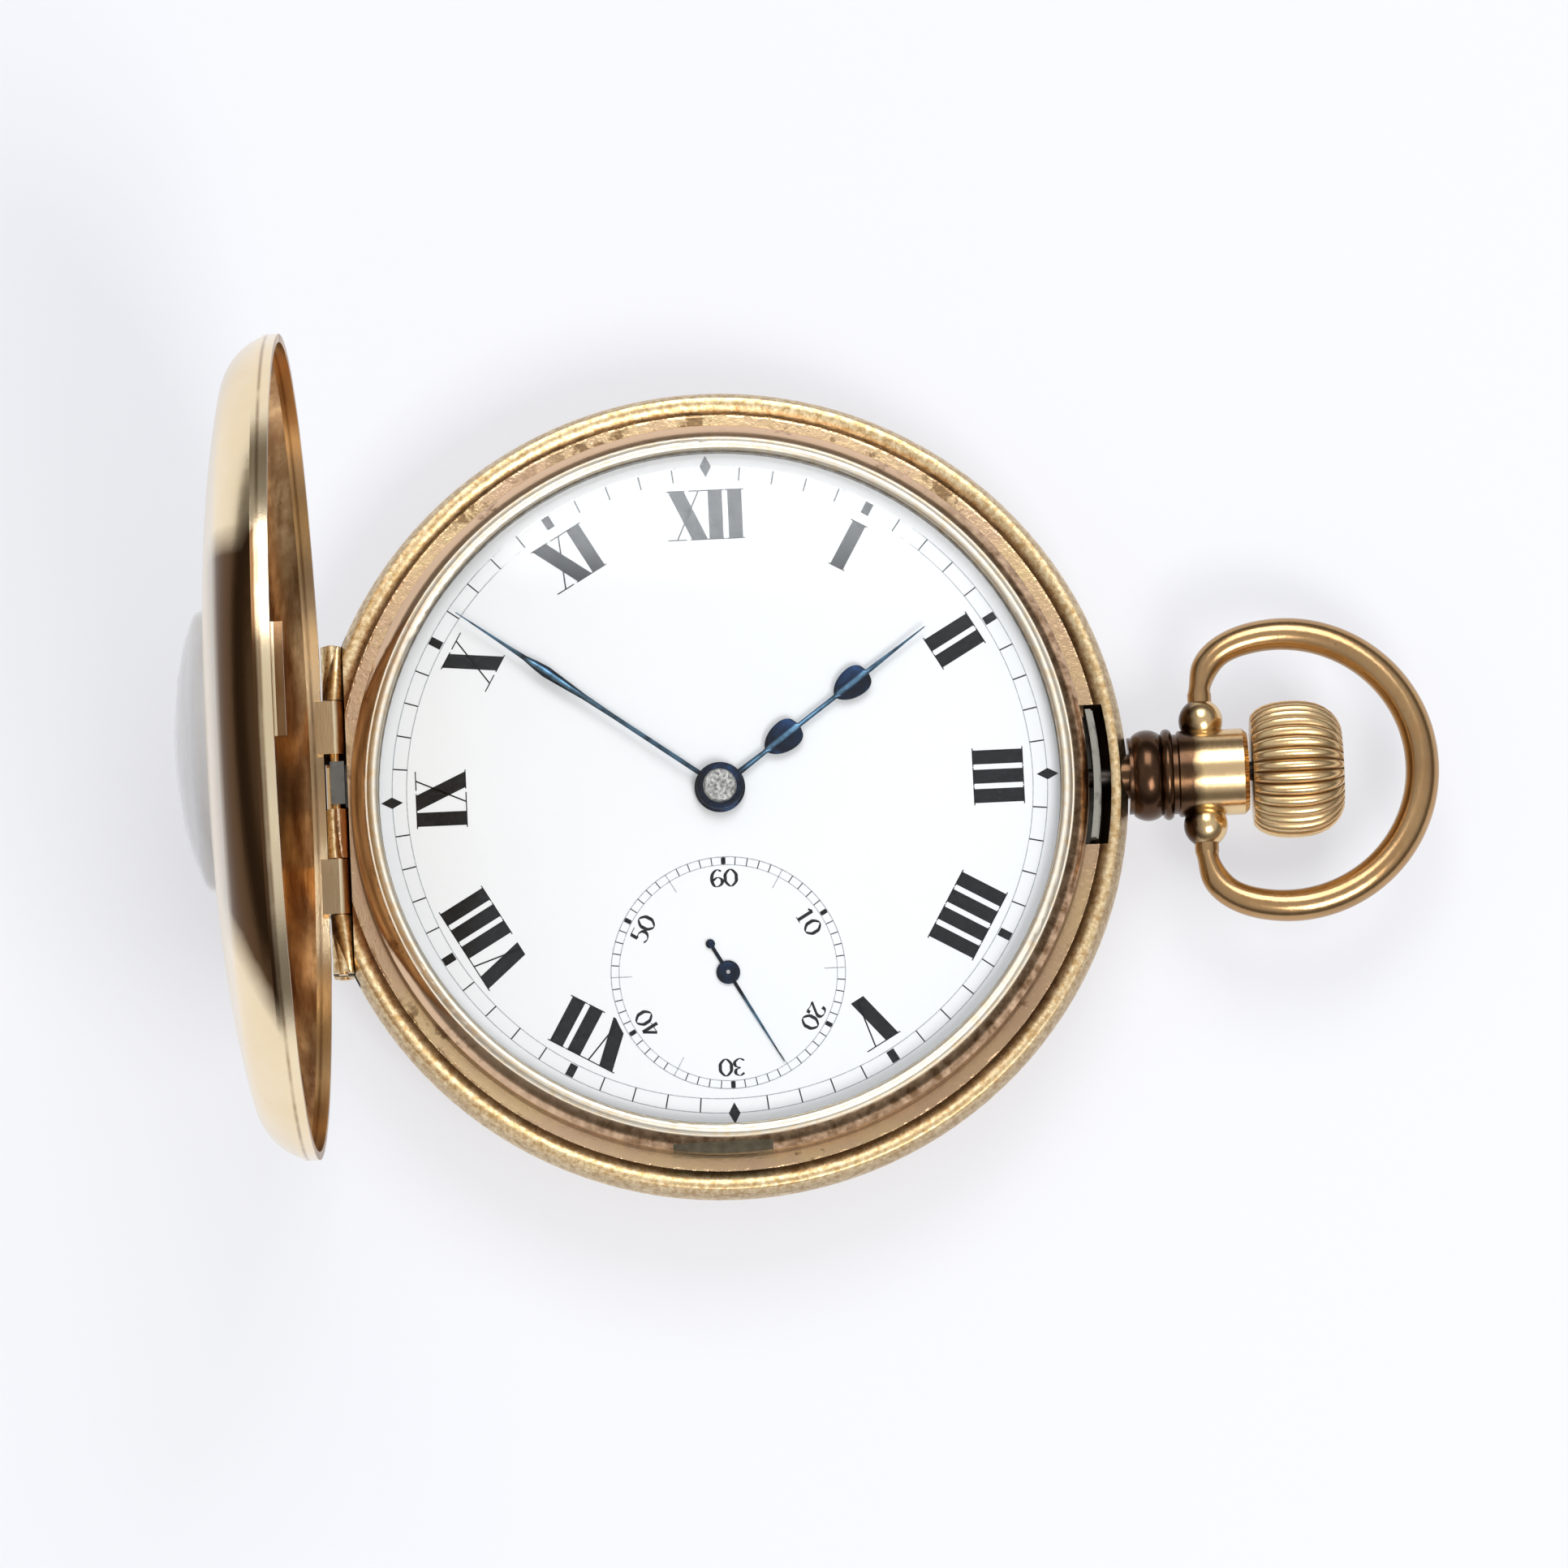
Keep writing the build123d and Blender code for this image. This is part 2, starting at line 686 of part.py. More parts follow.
# Pendant: neck and saddle, ringed collar, tube and the two balls that carry the bow
with BuildPart() as pendant:
    with BuildSketch(Plane.XY.offset(band_mid_z)):
        with BuildLine():
            Polyline(
                (lock_slot_r, stem_r + room),
                (lock_slot_r, neck_r),
                (collar_x, neck_r),
                (collar_x, collar_low_r),
            )
            for start_share, end_share in collar_ring_shares:
                ring_x = collar_x + start_share * collar_length
                ring_end_x = collar_x + end_share * collar_length
                ThreePointArc(
                    (ring_x, collar_low_r),
                    ((ring_x + ring_end_x) / 2, collar_r),
                    (ring_end_x, collar_low_r),
                )
            Polyline(
                (collar_end_x, collar_low_r),
                (groove_x, collar_low_r),
                (groove_x, tube_r - gap),
                (groove_x + gap, tube_r),
                (tube_end_x - room, tube_r),
                (tube_end_x, tube_r - room),
                (tube_end_x, tube_bore_r),
                (groove_x, tube_bore_r),
                (groove_x, stem_r + room),
                (lock_slot_r, stem_r + room),
            )
        make_face()
    revolve(axis=Axis((0, 0, band_mid_z), (1, 0, 0)))
    add(saddle.part)
    for side in (-1, 1):
        with Locations((bow_x, side * ball_y, band_mid_z)):
            Sphere(ball_r)
    with BuildSketch(along_x(groove_x)):
        Circle(tube_bore_r)
    extrude(amount=tube_end_x - groove_x, mode=Mode.SUBTRACT)
    for side in (-1, 1):
        with BuildSketch(Plane(origin=(bow_x, side * bow_seat_y, band_mid_z), z_dir=(0, side, 0))):
            Circle(bow_tip_r + fit)
        extrude(amount=ball_r * 2, mode=Mode.SUBTRACT)
finish(pendant.part, "pendant")

# Split sleeve in the tube and the detent ring that slides in it with the stem
sleeve_x, sleeve_end_x = groove_x + room, tube_end_x - room
with BuildPart() as pendant_sleeve:
    with BuildSketch(along_x(sleeve_x)):
        Circle(tube_bore_r)
        Circle(tube_bore_r - sleeve_wall, mode=Mode.SUBTRACT)
    extrude(amount=sleeve_end_x - sleeve_x)
    with Locations((sleeve_end_x, 0, band_mid_z)):
        Box(
            sleeve_x,
            sleeve_wall,
            2 * tube_bore_r,
            align=(Align.CENTER, Align.CENTER, Align.MIN),
            mode=Mode.SUBTRACT,
        )
finish(pendant_sleeve.part, "pendant_sleeve")

detent_x = (sleeve_x + sleeve_end_x) / 2 - detent_width
with BuildPart() as stem_detent:
    with BuildSketch(along_x(detent_x)):
        Circle(tube_bore_r - sleeve_wall - fit)
        Circle(stem_r + fit, mode=Mode.SUBTRACT)
    extrude(amount=detent_width)
    fillet(stem_detent.edges().filter_by(GeomType.CIRCLE).group_by(SortBy.RADIUS)[-1], detent_width / 4)
finish(stem_detent.part, "stem_detent")

# Winding stem with a collar on each side of its detent ring
stem_start_x = crown_wheel_x + stem_pilot
stem_end_x = crown_x + crown_length / 2
with BuildPart() as winding_stem:
    with BuildSketch(along_x(stem_start_x)):
        Circle(stem_r)
    extrude(amount=stem_end_x - stem_start_x)
    for collar_start in (detent_x - detent_width - fit, detent_x + detent_width + fit):
        with BuildSketch(along_x(collar_start)):
            Circle(stem_r + room)
        extrude(amount=detent_width)
finish(winding_stem.part, "winding_stem")

# Bow: a round ring that turns in to the balls, thick at the far side and thin at the tips
bow_bend_r = bow_ring_r * bow_bend_share
bend_x = bow_x + bow_bend_r
bend_y = sqrt((bow_ring_r - bow_bend_r) ** 2 - (bend_x - bow_ring_x) ** 2)
bend_angle = degrees(atan2(bend_y, bend_x - bow_ring_x))
join = polar(bow_ring_r, bend_angle, (bow_ring_x, 0))
bend_middle = polar(bow_bend_r, (bend_angle + 180) / 2, (bend_x, bend_y))
bow_end_x = bow_ring_x + bow_ring_r
with BuildPart() as bow:
    with BuildLine(Plane.XY.offset(band_mid_z)) as bow_path:
        ThreePointArc((bow_x, -bend_y), (bend_middle[0], -bend_middle[1]), (join[0], -join[1]))
        ThreePointArc((join[0], -join[1]), (bow_end_x, 0), join)
        ThreePointArc(join, bend_middle, (bow_x, bend_y))
    bow_wire = bow_path.wires()[0]
    for number in range(bow_sections + 1):
        along = number / bow_sections
        from_middle = abs(2 * along - 1)
        with BuildSketch(Plane(origin=bow_wire @ along, z_dir=bow_wire % along)):
            thinned = from_middle ** bow_taper_share
            Circle(bow_wire_r + (bow_tip_r - bow_wire_r) * thinned)
    loft()
    for side in (-1, 1):
        with BuildSketch(Plane(origin=(bow_x, side * bow_tip_y, band_mid_z), z_dir=(0, side, 0))):
            Circle(bow_tip_r)
        extrude(amount=bend_y - bow_tip_y)
finish(bow.part, "bow")

# Crown: a ribbed onion with a flat end, hollowed where it comes over the end of the tube
with BuildPart() as crown:
    crown_end_x = crown_x + crown_length
    crown_flat_r = crown_r * crown_flat_share
    crown_base_r = crown_r * crown_base_share
    with BuildSketch(Plane.XY.offset(band_mid_z)):
        with BuildLine():
            Polyline((crown_x, 0), (crown_x, crown_base_r))
            crown_belly_x = crown_x + crown_length / 2
            Spline(
                (crown_x, crown_base_r),
                (crown_x + crown_length / 5, (crown_base_r + 3 * crown_r) / 4),
                (crown_belly_x, crown_r),
                (crown_end_x - crown_length / 5, (crown_flat_r + 3 * crown_r) / 4),
                (crown_end_x, crown_flat_r),
            )
            Polyline((crown_end_x, crown_flat_r), (crown_end_x, 0), (crown_x, 0))
        make_face()
    revolve(axis=Axis((0, 0, band_mid_z), (1, 0, 0)))
    # Grooves between the ribs, cut along the crown
    groove_r = pi * crown_r / crown_ribs * crown_groove_share
    with BuildPart(mode=Mode.PRIVATE) as groove:
        with BuildSketch(Plane.XY.offset(band_mid_z)):
            with BuildLine():
                Spline(
                    (crown_x - gap, crown_base_r),
                    (crown_x + crown_length / 5, (crown_base_r + 3 * crown_r) / 4 - crown_rib_depth),
                    (crown_belly_x, crown_r - crown_rib_depth),
                    (crown_end_x - crown_length / 5, (crown_flat_r + 3 * crown_r) / 4 - crown_rib_depth),
                    (crown_end_x + gap, crown_flat_r),
                )
                Polyline(
                    (crown_end_x + gap, crown_flat_r),
                    (crown_end_x + gap, crown_r + overrun),
                    (crown_x - gap, crown_r + overrun),
                    (crown_x - gap, crown_base_r),
                )
            make_face()
        extrude(amount=groove_r, both=True)
    for turn in range(crown_ribs):
        spin = Location((0, 0, band_mid_z), (turn * 360 / crown_ribs, 0, 0)) * Location((0, 0, -band_mid_z))
        add(spin * groove.part, mode=Mode.SUBTRACT)
    with BuildSketch(along_x(crown_x - gap)):
        Circle(stem_r)
    extrude(amount=stem_end_x - crown_x + gap, mode=Mode.SUBTRACT)
finish(crown.part, "crown")


def stacked(centre, steps):
    """A turned arbor from its steps, each a height where it starts, one where it ends and a radius."""
    with BuildPart() as body:
        for low, high, radius in steps:
            with BuildSketch(Plane((centre[0], centre[1], low))):
                Circle(radius)
            extrude(amount=high - low)
    return body.part


def bearing(a, b):
    """The angle in degrees from one centre to another."""
    return degrees(atan2(b[1] - a[1], b[0] - a[0]))


def spiral(centre, inner_r, outer_r, turns, strip, z, height, steps_per_turn=24):
    """A flat spiral spring of even strip, from its inner end to its outer end."""
    outer, inner = [], []
    count = turns * steps_per_turn
    for number in range(count + 1):
        radius = inner_r + (outer_r - inner_r) * number / count
        angle = 360 * number / steps_per_turn
        outer.append(polar(radius + strip / 2, angle, centre))
        inner.append(polar(radius - strip / 2, angle, centre))
    with BuildPart() as body:
        with BuildSketch(Plane.XY.offset(z)):
            with BuildLine():
                Polyline(*(outer + inner[::-1]), close=True)
            make_face()
        extrude(amount=height)
    return body.part


# Springs of the case: a strip along the band, held by a screw at its end
spring_strip = 0.35
spring_outer_r = spring_bore_r - gap
spring_inner_r = spring_outer_r - spring_strip
spring_floor = 0.25
lock_strip_half_angle = 42
lock_hook = 0.12
lock_lip_r = lock_lip_inner_r + spring_strip
lock_hook_r = lock_lip_r + lock_hook
lock_top_z = 8.35
lock_hook_z = 7.45
lock_hook_height = 0.3
lock_lip_half = 4.05
with BuildPart() as lock_spring:
    with BuildSketch(Plane.XY.offset(spring_z)):
        Circle(spring_outer_r)
        Circle(spring_inner_r, mode=Mode.SUBTRACT)
        strip_reach = spring_outer_r * 2
        with BuildLine():
            Polyline(
                (0, 0),
                polar(strip_reach, -lock_strip_half_angle),
                (strip_reach * 2, 0),
                polar(strip_reach, lock_strip_half_angle),
                close=True,
            )
        make_face(mode=Mode.INTERSECT)
    extrude(amount=spring_top_z - spring_z)
    for low, high, inner, outer in (
        (spring_z, spring_z + spring_floor, spring_inner_r, lock_lip_r),
        (spring_z, lock_top_z, lock_lip_inner_r, lock_lip_r),
        (lock_hook_z, lock_hook_z + lock_hook_height, lock_lip_inner_r, lock_hook_r),
    ):
        with BuildSketch(Plane.XY.offset(low)):
            Circle(outer)
            Circle(inner, mode=Mode.SUBTRACT)
            with Locations((outer, 0)):
                Rectangle(outer, 2 * lock_lip_half, mode=Mode.INTERSECT)
        extrude(amount=high - low)
    with BuildSketch(along_x(spring_inner_r - overrun, 0, spring_z + spring_floor)):
        Rectangle(2 * stem_r + 2 * room, 2 * stem_r + 3 * room, align=(Align.CENTER, Align.MIN))
    extrude(amount=lock_hook_r - spring_inner_r + 2 * overrun, mode=Mode.SUBTRACT)
    lock_hole_r = spring_screw_r + spring_screw_slack
    add(
        radial_hole(spring_screws_deg[0], lock_hole_r, plate_bore_r, case_r),
        mode=Mode.SUBTRACT,
    )
finish(lock_spring.part, "lock_spring")

lift_start_angle = 128
lift_end_angle = 178
lift_tip_x = hinge_x + knuckle_r
lift_tip_top_z = front_hinge_z + knuckle_r - gap
lift_foot_z = 5.7
with BuildPart() as lift_spring:
    with BuildSketch(Plane.XY.offset(spring_z)):
        Circle(spring_outer_r)
        Circle(spring_inner_r, mode=Mode.SUBTRACT)
        with BuildLine():
            Polyline(
                (0, 0),
                polar(strip_reach, lift_start_angle),
                (-strip_reach, strip_reach),
                polar(strip_reach, lift_end_angle),
                close=True,
            )
        make_face(mode=Mode.INTERSECT)
    extrude(amount=spring_top_z - spring_z)
    lift_tip_width = lift_tip_high - lift_tip_low
    for low, high, left, right in (
        (lift_foot_z, spring_top_z, hinge_x - knuckle_r / 2, -spring_inner_r - gap),
        (lift_foot_z, lift_tip_top_z, hinge_x - knuckle_r / 2, lift_tip_x - gap),
    ):
        with Locations((left, lift_tip_low, low)):
            Box(right - left, lift_tip_width, high - low, align=(Align.MIN, Align.MIN, Align.MIN))
    with BuildSketch(along_y(hinge_x, lift_tip_low - overrun, front_hinge_z)):
        Circle(hinge_pin_r + fit)
    extrude(amount=lift_tip_width + 2 * overrun, mode=Mode.SUBTRACT)
    add(
        radial_hole(spring_screws_deg[1], spring_screw_r, plate_bore_r, case_r),
        mode=Mode.SUBTRACT,
    )
finish(lift_spring.part, "lift_spring")

# Centres of the movement, worked out from the distances between meshing wheels
centre = (0, 0)
crown_wheel_r = 5.0
ratchet_r = crown_wheel_r * ratchet_teeth / crown_wheel_teeth
barrel_x = (barrel_distance**2 + crown_wheel_x**2 - (crown_wheel_r + ratchet_r) ** 2) / (2 * crown_wheel_x)
barrel = (barrel_x, sqrt(barrel_distance**2 - barrel_x**2))
crown_centre = (crown_wheel_x, 0)
barrel_pitch_r = barrel_distance * barrel_teeth / (barrel_teeth + centre_leaves)
centre_pinion_r = barrel_distance - barrel_pitch_r
centre_distance = 6.3
third_distance = 5.95
centre_wheel_r = centre_distance * centre_teeth / (centre_teeth + third_leaves)
third_pinion_r = centre_distance - centre_wheel_r
third_wheel_r = third_distance * third_teeth / (third_teeth + fourth_leaves)
fourth_pinion_r = third_distance - third_wheel_r
third_y = (centre_distance**2 - third_distance**2 + seconds_y**2) / (2 * seconds_y)
third = (-sqrt(centre_distance**2 - third_y**2), third_y)
fourth = (0, seconds_y)
escape_distance = 5.1
lever_distance = 6.9
fourth_wheel_r = escape_distance * fourth_teeth / (fourth_teeth + escape_leaves)
escape_pinion_r = escape_distance - fourth_wheel_r
balance = (balance_x, balance_y)
to_balance = hypot(balance_x, balance_y - seconds_y)
swing = degrees(
    acos((escape_distance**2 + to_balance**2 - lever_distance**2) / (2 * escape_distance * to_balance))
)
escape = polar(escape_distance, bearing(fourth, balance) - swing, fourth)
lever_angle = bearing(escape, balance)
pallet_distance = 3.35
pallet = polar(pallet_distance, lever_angle, escape)
train_arbors = (centre, third, fourth, escape, pallet, balance)

# Motion works between the plate and the dial
motion_z = 7.6
motion_thick = 0.2
motion_post_r = 0.3
motion_post_height = 0.3
cannon_r = minute_wheel_x * cannon_leaves / (cannon_leaves + minute_teeth)
minute_wheel_r = minute_wheel_x - cannon_r
minute_pinion_r = minute_wheel_x * minute_leaves / (minute_leaves + hour_teeth)
hour_wheel_r = minute_wheel_x - minute_pinion_r
setting_wheel_teeth = 20
setting_wheel_r = minute_wheel_r * setting_wheel_teeth / minute_teeth
setting_wheel_x = minute_wheel_x + minute_wheel_r + setting_wheel_r

# Screws, dial feet and the click, round the plate
leg_mid_r = (leg_r + plate_r - 2 * room) / 2
screw_r = 0.4
screw_head_r = 0.75
screw_head = 0.5
bridge_screws = [polar(leg_mid_r, angle) for angle in (55, 130, 212, 248)]
cock_screw_x = 17.3
cock_screw_y = -7.5
cock_screws = [(cock_screw_x, cock_screw_y)]
case_screws = [polar(plate_r - screw_r + gap / 2, angle) for angle in (168, 285)]
feet = [polar(leg_r - overrun, angle) for angle in (80, 205, 325)]
foot_r = 0.45
click_distance = 10.6
click_centre = polar(click_distance, 200, barrel)
click_pin_r = 0.35
barrel_pivot_r = 0.7
centre_hole_r = 0.8
train_edge_x = 1.6


def leg_sector(start, end):
    """The part of a ring under a bridge's edge, between two angles."""
    outer_r = plate_r - 2 * room - gap / 2
    middle = (start + end) / 2
    with BuildSketch() as sector:
        with BuildLine():
            ThreePointArc(polar(leg_r, start), polar(leg_r, middle), polar(leg_r, end))
            Line(polar(leg_r, end), polar(outer_r, end))
            ThreePointArc(polar(outer_r, end), polar(outer_r, middle), polar(outer_r, start))
            Line(polar(outer_r, start), polar(leg_r, start))
        make_face()
    return sector.sketch


# Main plate with its flange, its openings and the post of the crown wheel
flange_z = plate_ledge_z + plate_ledge
post_r = 1.2
post_end_z = 2.45
keyless_x = 10.5
keyless_end_x = 16.0
keyless_half = 2.1
with BuildPart() as main_plate:
    with BuildSketch(Plane.XY.offset(plate_z)):
        Circle(plate_r)
    extrude(amount=flange_z - plate_z)
    with BuildSketch(Plane.XY.offset(flange_z)):
        Circle(dial_bore_r - gap)
    extrude(amount=plate_top_z - flange_z)
    with BuildSketch(Plane.XY.offset(plate_top_z)):
        Circle(dial_bore_r - gap)
        Circle(plate_r - room, mode=Mode.SUBTRACT)
    extrude(amount=dial_z - plate_top_z)
    with BuildSketch(Plane((crown_wheel_x, 0, post_end_z))):
        Circle(post_r)
    extrude(amount=plate_z - post_end_z)
    with BuildSketch(Plane.XY.offset(plate_top_z)):
        with Locations((minute_wheel_x, 0), (setting_wheel_x, 0)):
            Circle(motion_post_r)
    extrude(amount=motion_z + motion_post_height - plate_top_z)
    with BuildSketch(Plane.XY.offset(plate_z)):
        with Locations((keyless_x, 0)):
            Rectangle(keyless_end_x - keyless_x, 2 * keyless_half, align=(Align.MIN, Align.CENTER))
        with Locations(centre):
            Circle(centre_hole_r)
        with Locations(barrel):
            Circle(barrel_pivot_r + fit)
        with Locations(*train_arbors[1:]):
            Circle(jewel_r)
        with Locations(*feet):
            Circle(foot_r)
        with Locations(*bridge_screws, *cock_screws, *case_screws):
            Circle(screw_r)
    extrude(amount=plate_top_z - plate_z, mode=Mode.SUBTRACT)
    with BuildSketch(along_x(keyless_x - overrun / 2)):
        Circle(stem_r + fit)
    extrude(amount=case_r, mode=Mode.SUBTRACT)
finish(main_plate.part, "main_plate")

# Barrel bridge over the upper half, with its leg along the edge of the plate
bridge_top_z = bridge_z + bridge_thick
bridge_r = plate_r - 2 * room
bridge_edge_y = -2.0
crown_clearance_r = 5.75
with BuildPart() as barrel_bridge:
    with BuildSketch(Plane.XY.offset(bridge_z)):
        Circle(bridge_r)
        with Locations((0, bridge_edge_y)):
            Rectangle(2 * bridge_r, 2 * bridge_r, align=(Align.CENTER, Align.MIN), mode=Mode.INTERSECT)
        with Locations(crown_centre):
            Circle(crown_clearance_r, mode=Mode.SUBTRACT)
            Rectangle(
                bridge_r, 2 * crown_clearance_r, align=(Align.MIN, Align.CENTER), mode=Mode.SUBTRACT
            )
    extrude(amount=bridge_thick)
    with BuildSketch(Plane.XY.offset(bridge_top_z)):
        add(leg_sector(35, 150))
    extrude(amount=plate_z - bridge_top_z)
    with BuildSketch(Plane.XY.offset(bridge_z)):
        with Locations(centre):
            Circle(jewel_r)
        with Locations(barrel):
            Circle(barrel_pivot_r + fit)
        with Locations(*bridge_screws):
            Circle(screw_r)
        with Locations(click_centre):
            Circle(click_pin_r)
    extrude(amount=plate_z - bridge_z, mode=Mode.SUBTRACT)
finish(barrel_bridge.part, "barrel_bridge")

# Train bridge over the third, fourth and escape wheels
nose_r = jewel_r + gap / 2
with BuildPart() as train_bridge:
    with BuildSketch(Plane.XY.offset(bridge_z)):
        Circle(bridge_r)
        with Locations((train_edge_x, bridge_edge_y - room)):
            Rectangle(2 * bridge_r, 2 * bridge_r, align=(Align.MAX, Align.MAX), mode=Mode.INTERSECT)
        with BuildLine():
            Polyline(
                (train_edge_x - overrun, escape[1] + nose_r),
                (escape[0], escape[1] + nose_r),
                (escape[0], escape[1] - nose_r),
                (train_edge_x - overrun, escape[1] - nose_r),
                close=True,
            )
        make_face()
        with Locations(escape):
            Circle(nose_r)
    extrude(amount=bridge_thick)
    with BuildSketch(Plane.XY.offset(bridge_top_z)):
        add(leg_sector(198, 262))
    extrude(amount=plate_z - bridge_top_z)
    with BuildSketch(Plane.XY.offset(bridge_z)):
        with Locations(third, fourth, escape):
            Circle(jewel_r - room)
        with Locations(*bridge_screws):
            Circle(screw_r)
    extrude(amount=plate_z - bridge_z, mode=Mode.SUBTRACT)
finish(train_bridge.part, "train_bridge")

# Balance cock on its own leg, with a hole for the upper jewel
cock_z = 2.6
cock_thick = 0.8
cock_leg_r = 1.5
cock_end_r = 1.6
with BuildPart() as balance_cock:
    with BuildSketch(Plane.XY.offset(cock_z)):
        with Locations(balance):
            Circle(cock_end_r)
        with Locations(cock_screws[0]):
            Circle(cock_leg_r)
        cock_bearing = bearing(balance, cock_screws[0])
        with BuildLine():
            Polyline(
                polar(cock_end_r, cock_bearing + 90, balance),
                polar(cock_leg_r, cock_bearing + 90, cock_screws[0]),
                polar(cock_leg_r, cock_bearing - 90, cock_screws[0]),
                polar(cock_end_r, cock_bearing - 90, balance),
                close=True,
            )
        make_face()
    extrude(amount=cock_thick)
    with BuildSketch(Plane((cock_screws[0][0], cock_screws[0][1], cock_z))):
        Circle(cock_leg_r)
    extrude(amount=plate_z - cock_z)
    with BuildSketch(Plane.XY.offset(cock_z)):
        with Locations(balance):
            Circle(jewel_r)
        with Locations(cock_screws[0]):
            Circle(screw_r)
    extrude(amount=plate_z - cock_z, mode=Mode.SUBTRACT)
    with BuildSketch(Plane((cock_screws[0][0], cock_screws[0][1], cock_z))):
        Circle(screw_head_r + fit)
    extrude(amount=screw_head, mode=Mode.SUBTRACT)
finish(balance_cock.part, "balance_cock")

# Pallet cock between the balance and the fork, on two small feet
pallet_cock_z = 4.88
pallet_cock_thick = 0.2
pallet_foot_r = 0.6
pallet_foot_reach = 2.3
pallet_end_reach = 3.7
pallet_feet = [polar(reach, lever_angle - 90, pallet) for reach in (pallet_foot_reach, pallet_end_reach)]
with BuildPart() as pallet_cock:
    with BuildSketch(Plane.XY.offset(pallet_cock_z)):
        for foot in pallet_feet:
            with Locations(foot):
                Circle(pallet_foot_r)
        with BuildLine():
            Polyline(
                polar(pallet_foot_r, lever_angle, pallet),
                polar(pallet_foot_r, lever_angle, pallet_feet[1]),
                polar(pallet_foot_r, lever_angle + 180, pallet_feet[1]),
                polar(pallet_foot_r, lever_angle + 180, pallet),
                close=True,
            )
        make_face()
        with Locations(pallet):
            Circle(pallet_foot_r)
        with Locations(pallet):
            Circle(pivot_r + fit, mode=Mode.SUBTRACT)
    extrude(amount=pallet_cock_thick)
    for foot in pallet_feet:
        with BuildSketch(Plane((foot[0], foot[1], pallet_cock_z))):
            Circle(pallet_foot_r)
        extrude(amount=plate_z - pallet_cock_z)
finish(pallet_cock.part, "pallet_cock")

# Barrel: a toothed drum, its cover, the mainspring and the arbor that winds it
drum_z = 4.2
drum_top_z = 5.6
drum_r = 7.6
drum_wall = 0.6
barrel_tooth_z = 4.3
barrel_tooth_height = 0.5
barrel_cover_thick = 0.3
barrel_floor = 0.3
arbor_hub_r = 1.5
barrel_phase = bearing(barrel, centre)
with BuildPart() as mainspring_barrel:
    add(
        wheel(
            barrel, barrel_tooth_z, barrel_tooth_height, barrel_teeth, barrel_pitch_r, barrel_phase, 0,
            drum_r / 2,
        )
    )
    with BuildSketch(Plane((barrel[0], barrel[1], drum_z))):
        Circle(drum_r)
    extrude(amount=drum_top_z - drum_z)
    with BuildSketch(Plane((barrel[0], barrel[1], drum_z + barrel_floor))):
        Circle(drum_r - drum_wall)
    extrude(amount=drum_top_z - drum_z, mode=Mode.SUBTRACT)
    with BuildSketch(Plane((barrel[0], barrel[1], drum_z))):
        Circle(barrel_pivot_r + fit)
    extrude(amount=drum_top_z - drum_z, mode=Mode.SUBTRACT)
finish(mainspring_barrel.part, "mainspring_barrel")

cover_z = drum_top_z - barrel_cover_thick
with BuildPart() as barrel_cover:
    with BuildSketch(Plane((barrel[0], barrel[1], cover_z))):
        Circle(drum_r - drum_wall)
        Circle(barrel_pivot_r + fit, mode=Mode.SUBTRACT)
    extrude(amount=barrel_cover_thick)
finish(barrel_cover.part, "barrel_cover")

spring_low_z = drum_z + barrel_floor + gap / 2
mainspring_strip = 0.2
mainspring_turns = 9
mainspring = spiral(
    barrel,
    arbor_hub_r + gap + mainspring_strip,
    drum_r - drum_wall - mainspring_strip,
    mainspring_turns,
    mainspring_strip,
    spring_low_z,
    cover_z - gap / 2 - spring_low_z,
)
finish(mainspring, "mainspring")

ratchet_z = 2.55
ratchet_thick = 0.4
barrel_arbor = stacked(
    barrel,
    [
        (ratchet_z, spring_low_z, barrel_pivot_r),
        (spring_low_z, cover_z - gap / 2, arbor_hub_r),
        (cover_z - gap / 2, plate_top_z, barrel_pivot_r),
    ],
)
finish(barrel_arbor, "barrel_arbor")

# Ratchet wheel on the barrel arbor, crown wheel on its post, with a rim of upright teeth
ratchet_phase = bearing(barrel, crown_centre)
ratchet_wheel = wheel(
    barrel, ratchet_z, ratchet_thick, ratchet_teeth, ratchet_r, ratchet_phase, 0, barrel_pivot_r
)
finish(ratchet_wheel, "ratchet_wheel")

crown_phase = bearing(crown_centre, barrel) + 180 / crown_wheel_teeth
rim_inner_r = 4.15
rim_outer_r = 4.9
rim_floor_z = 4.3
rim_top_z = 4.95
rim_gap_share = 0.62
crown_hub_r = 1.9
with BuildPart() as crown_wheel:
    add(
        wheel(
            crown_centre,
            ratchet_z,
            ratchet_thick,
            crown_wheel_teeth,
            crown_wheel_r,
            crown_phase,
            0,
            post_r + fit,
        )
    )
    with BuildSketch(Plane((crown_wheel_x, 0, ratchet_z + ratchet_thick))):
        Circle(rim_outer_r)
        Circle(rim_inner_r, mode=Mode.SUBTRACT)
    extrude(amount=rim_top_z - ratchet_z - ratchet_thick)
    with BuildSketch(Plane((crown_wheel_x, 0, ratchet_z + ratchet_thick))):
        Circle(crown_hub_r)
        Circle(post_r + fit, mode=Mode.SUBTRACT)
    extrude(amount=ratchet_thick)
    rim_tooth = 2 * pi * (rim_inner_r + rim_outer_r) / 2 / crown_wheel_teeth
    for number in range(crown_wheel_teeth):
        turn = number * 360 / crown_wheel_teeth
        with BuildSketch(Plane((crown_wheel_x, 0, rim_floor_z))):
            with Locations(Location((0, 0), turn)):
                with Locations(((rim_inner_r + rim_outer_r) / 2, 0)):
                    Rectangle(2 * (rim_outer_r - rim_inner_r), rim_gap_share * rim_tooth)
        extrude(amount=rim_top_z - rim_floor_z + overrun, mode=Mode.SUBTRACT)
finish(crown_wheel.part, "crown_wheel")

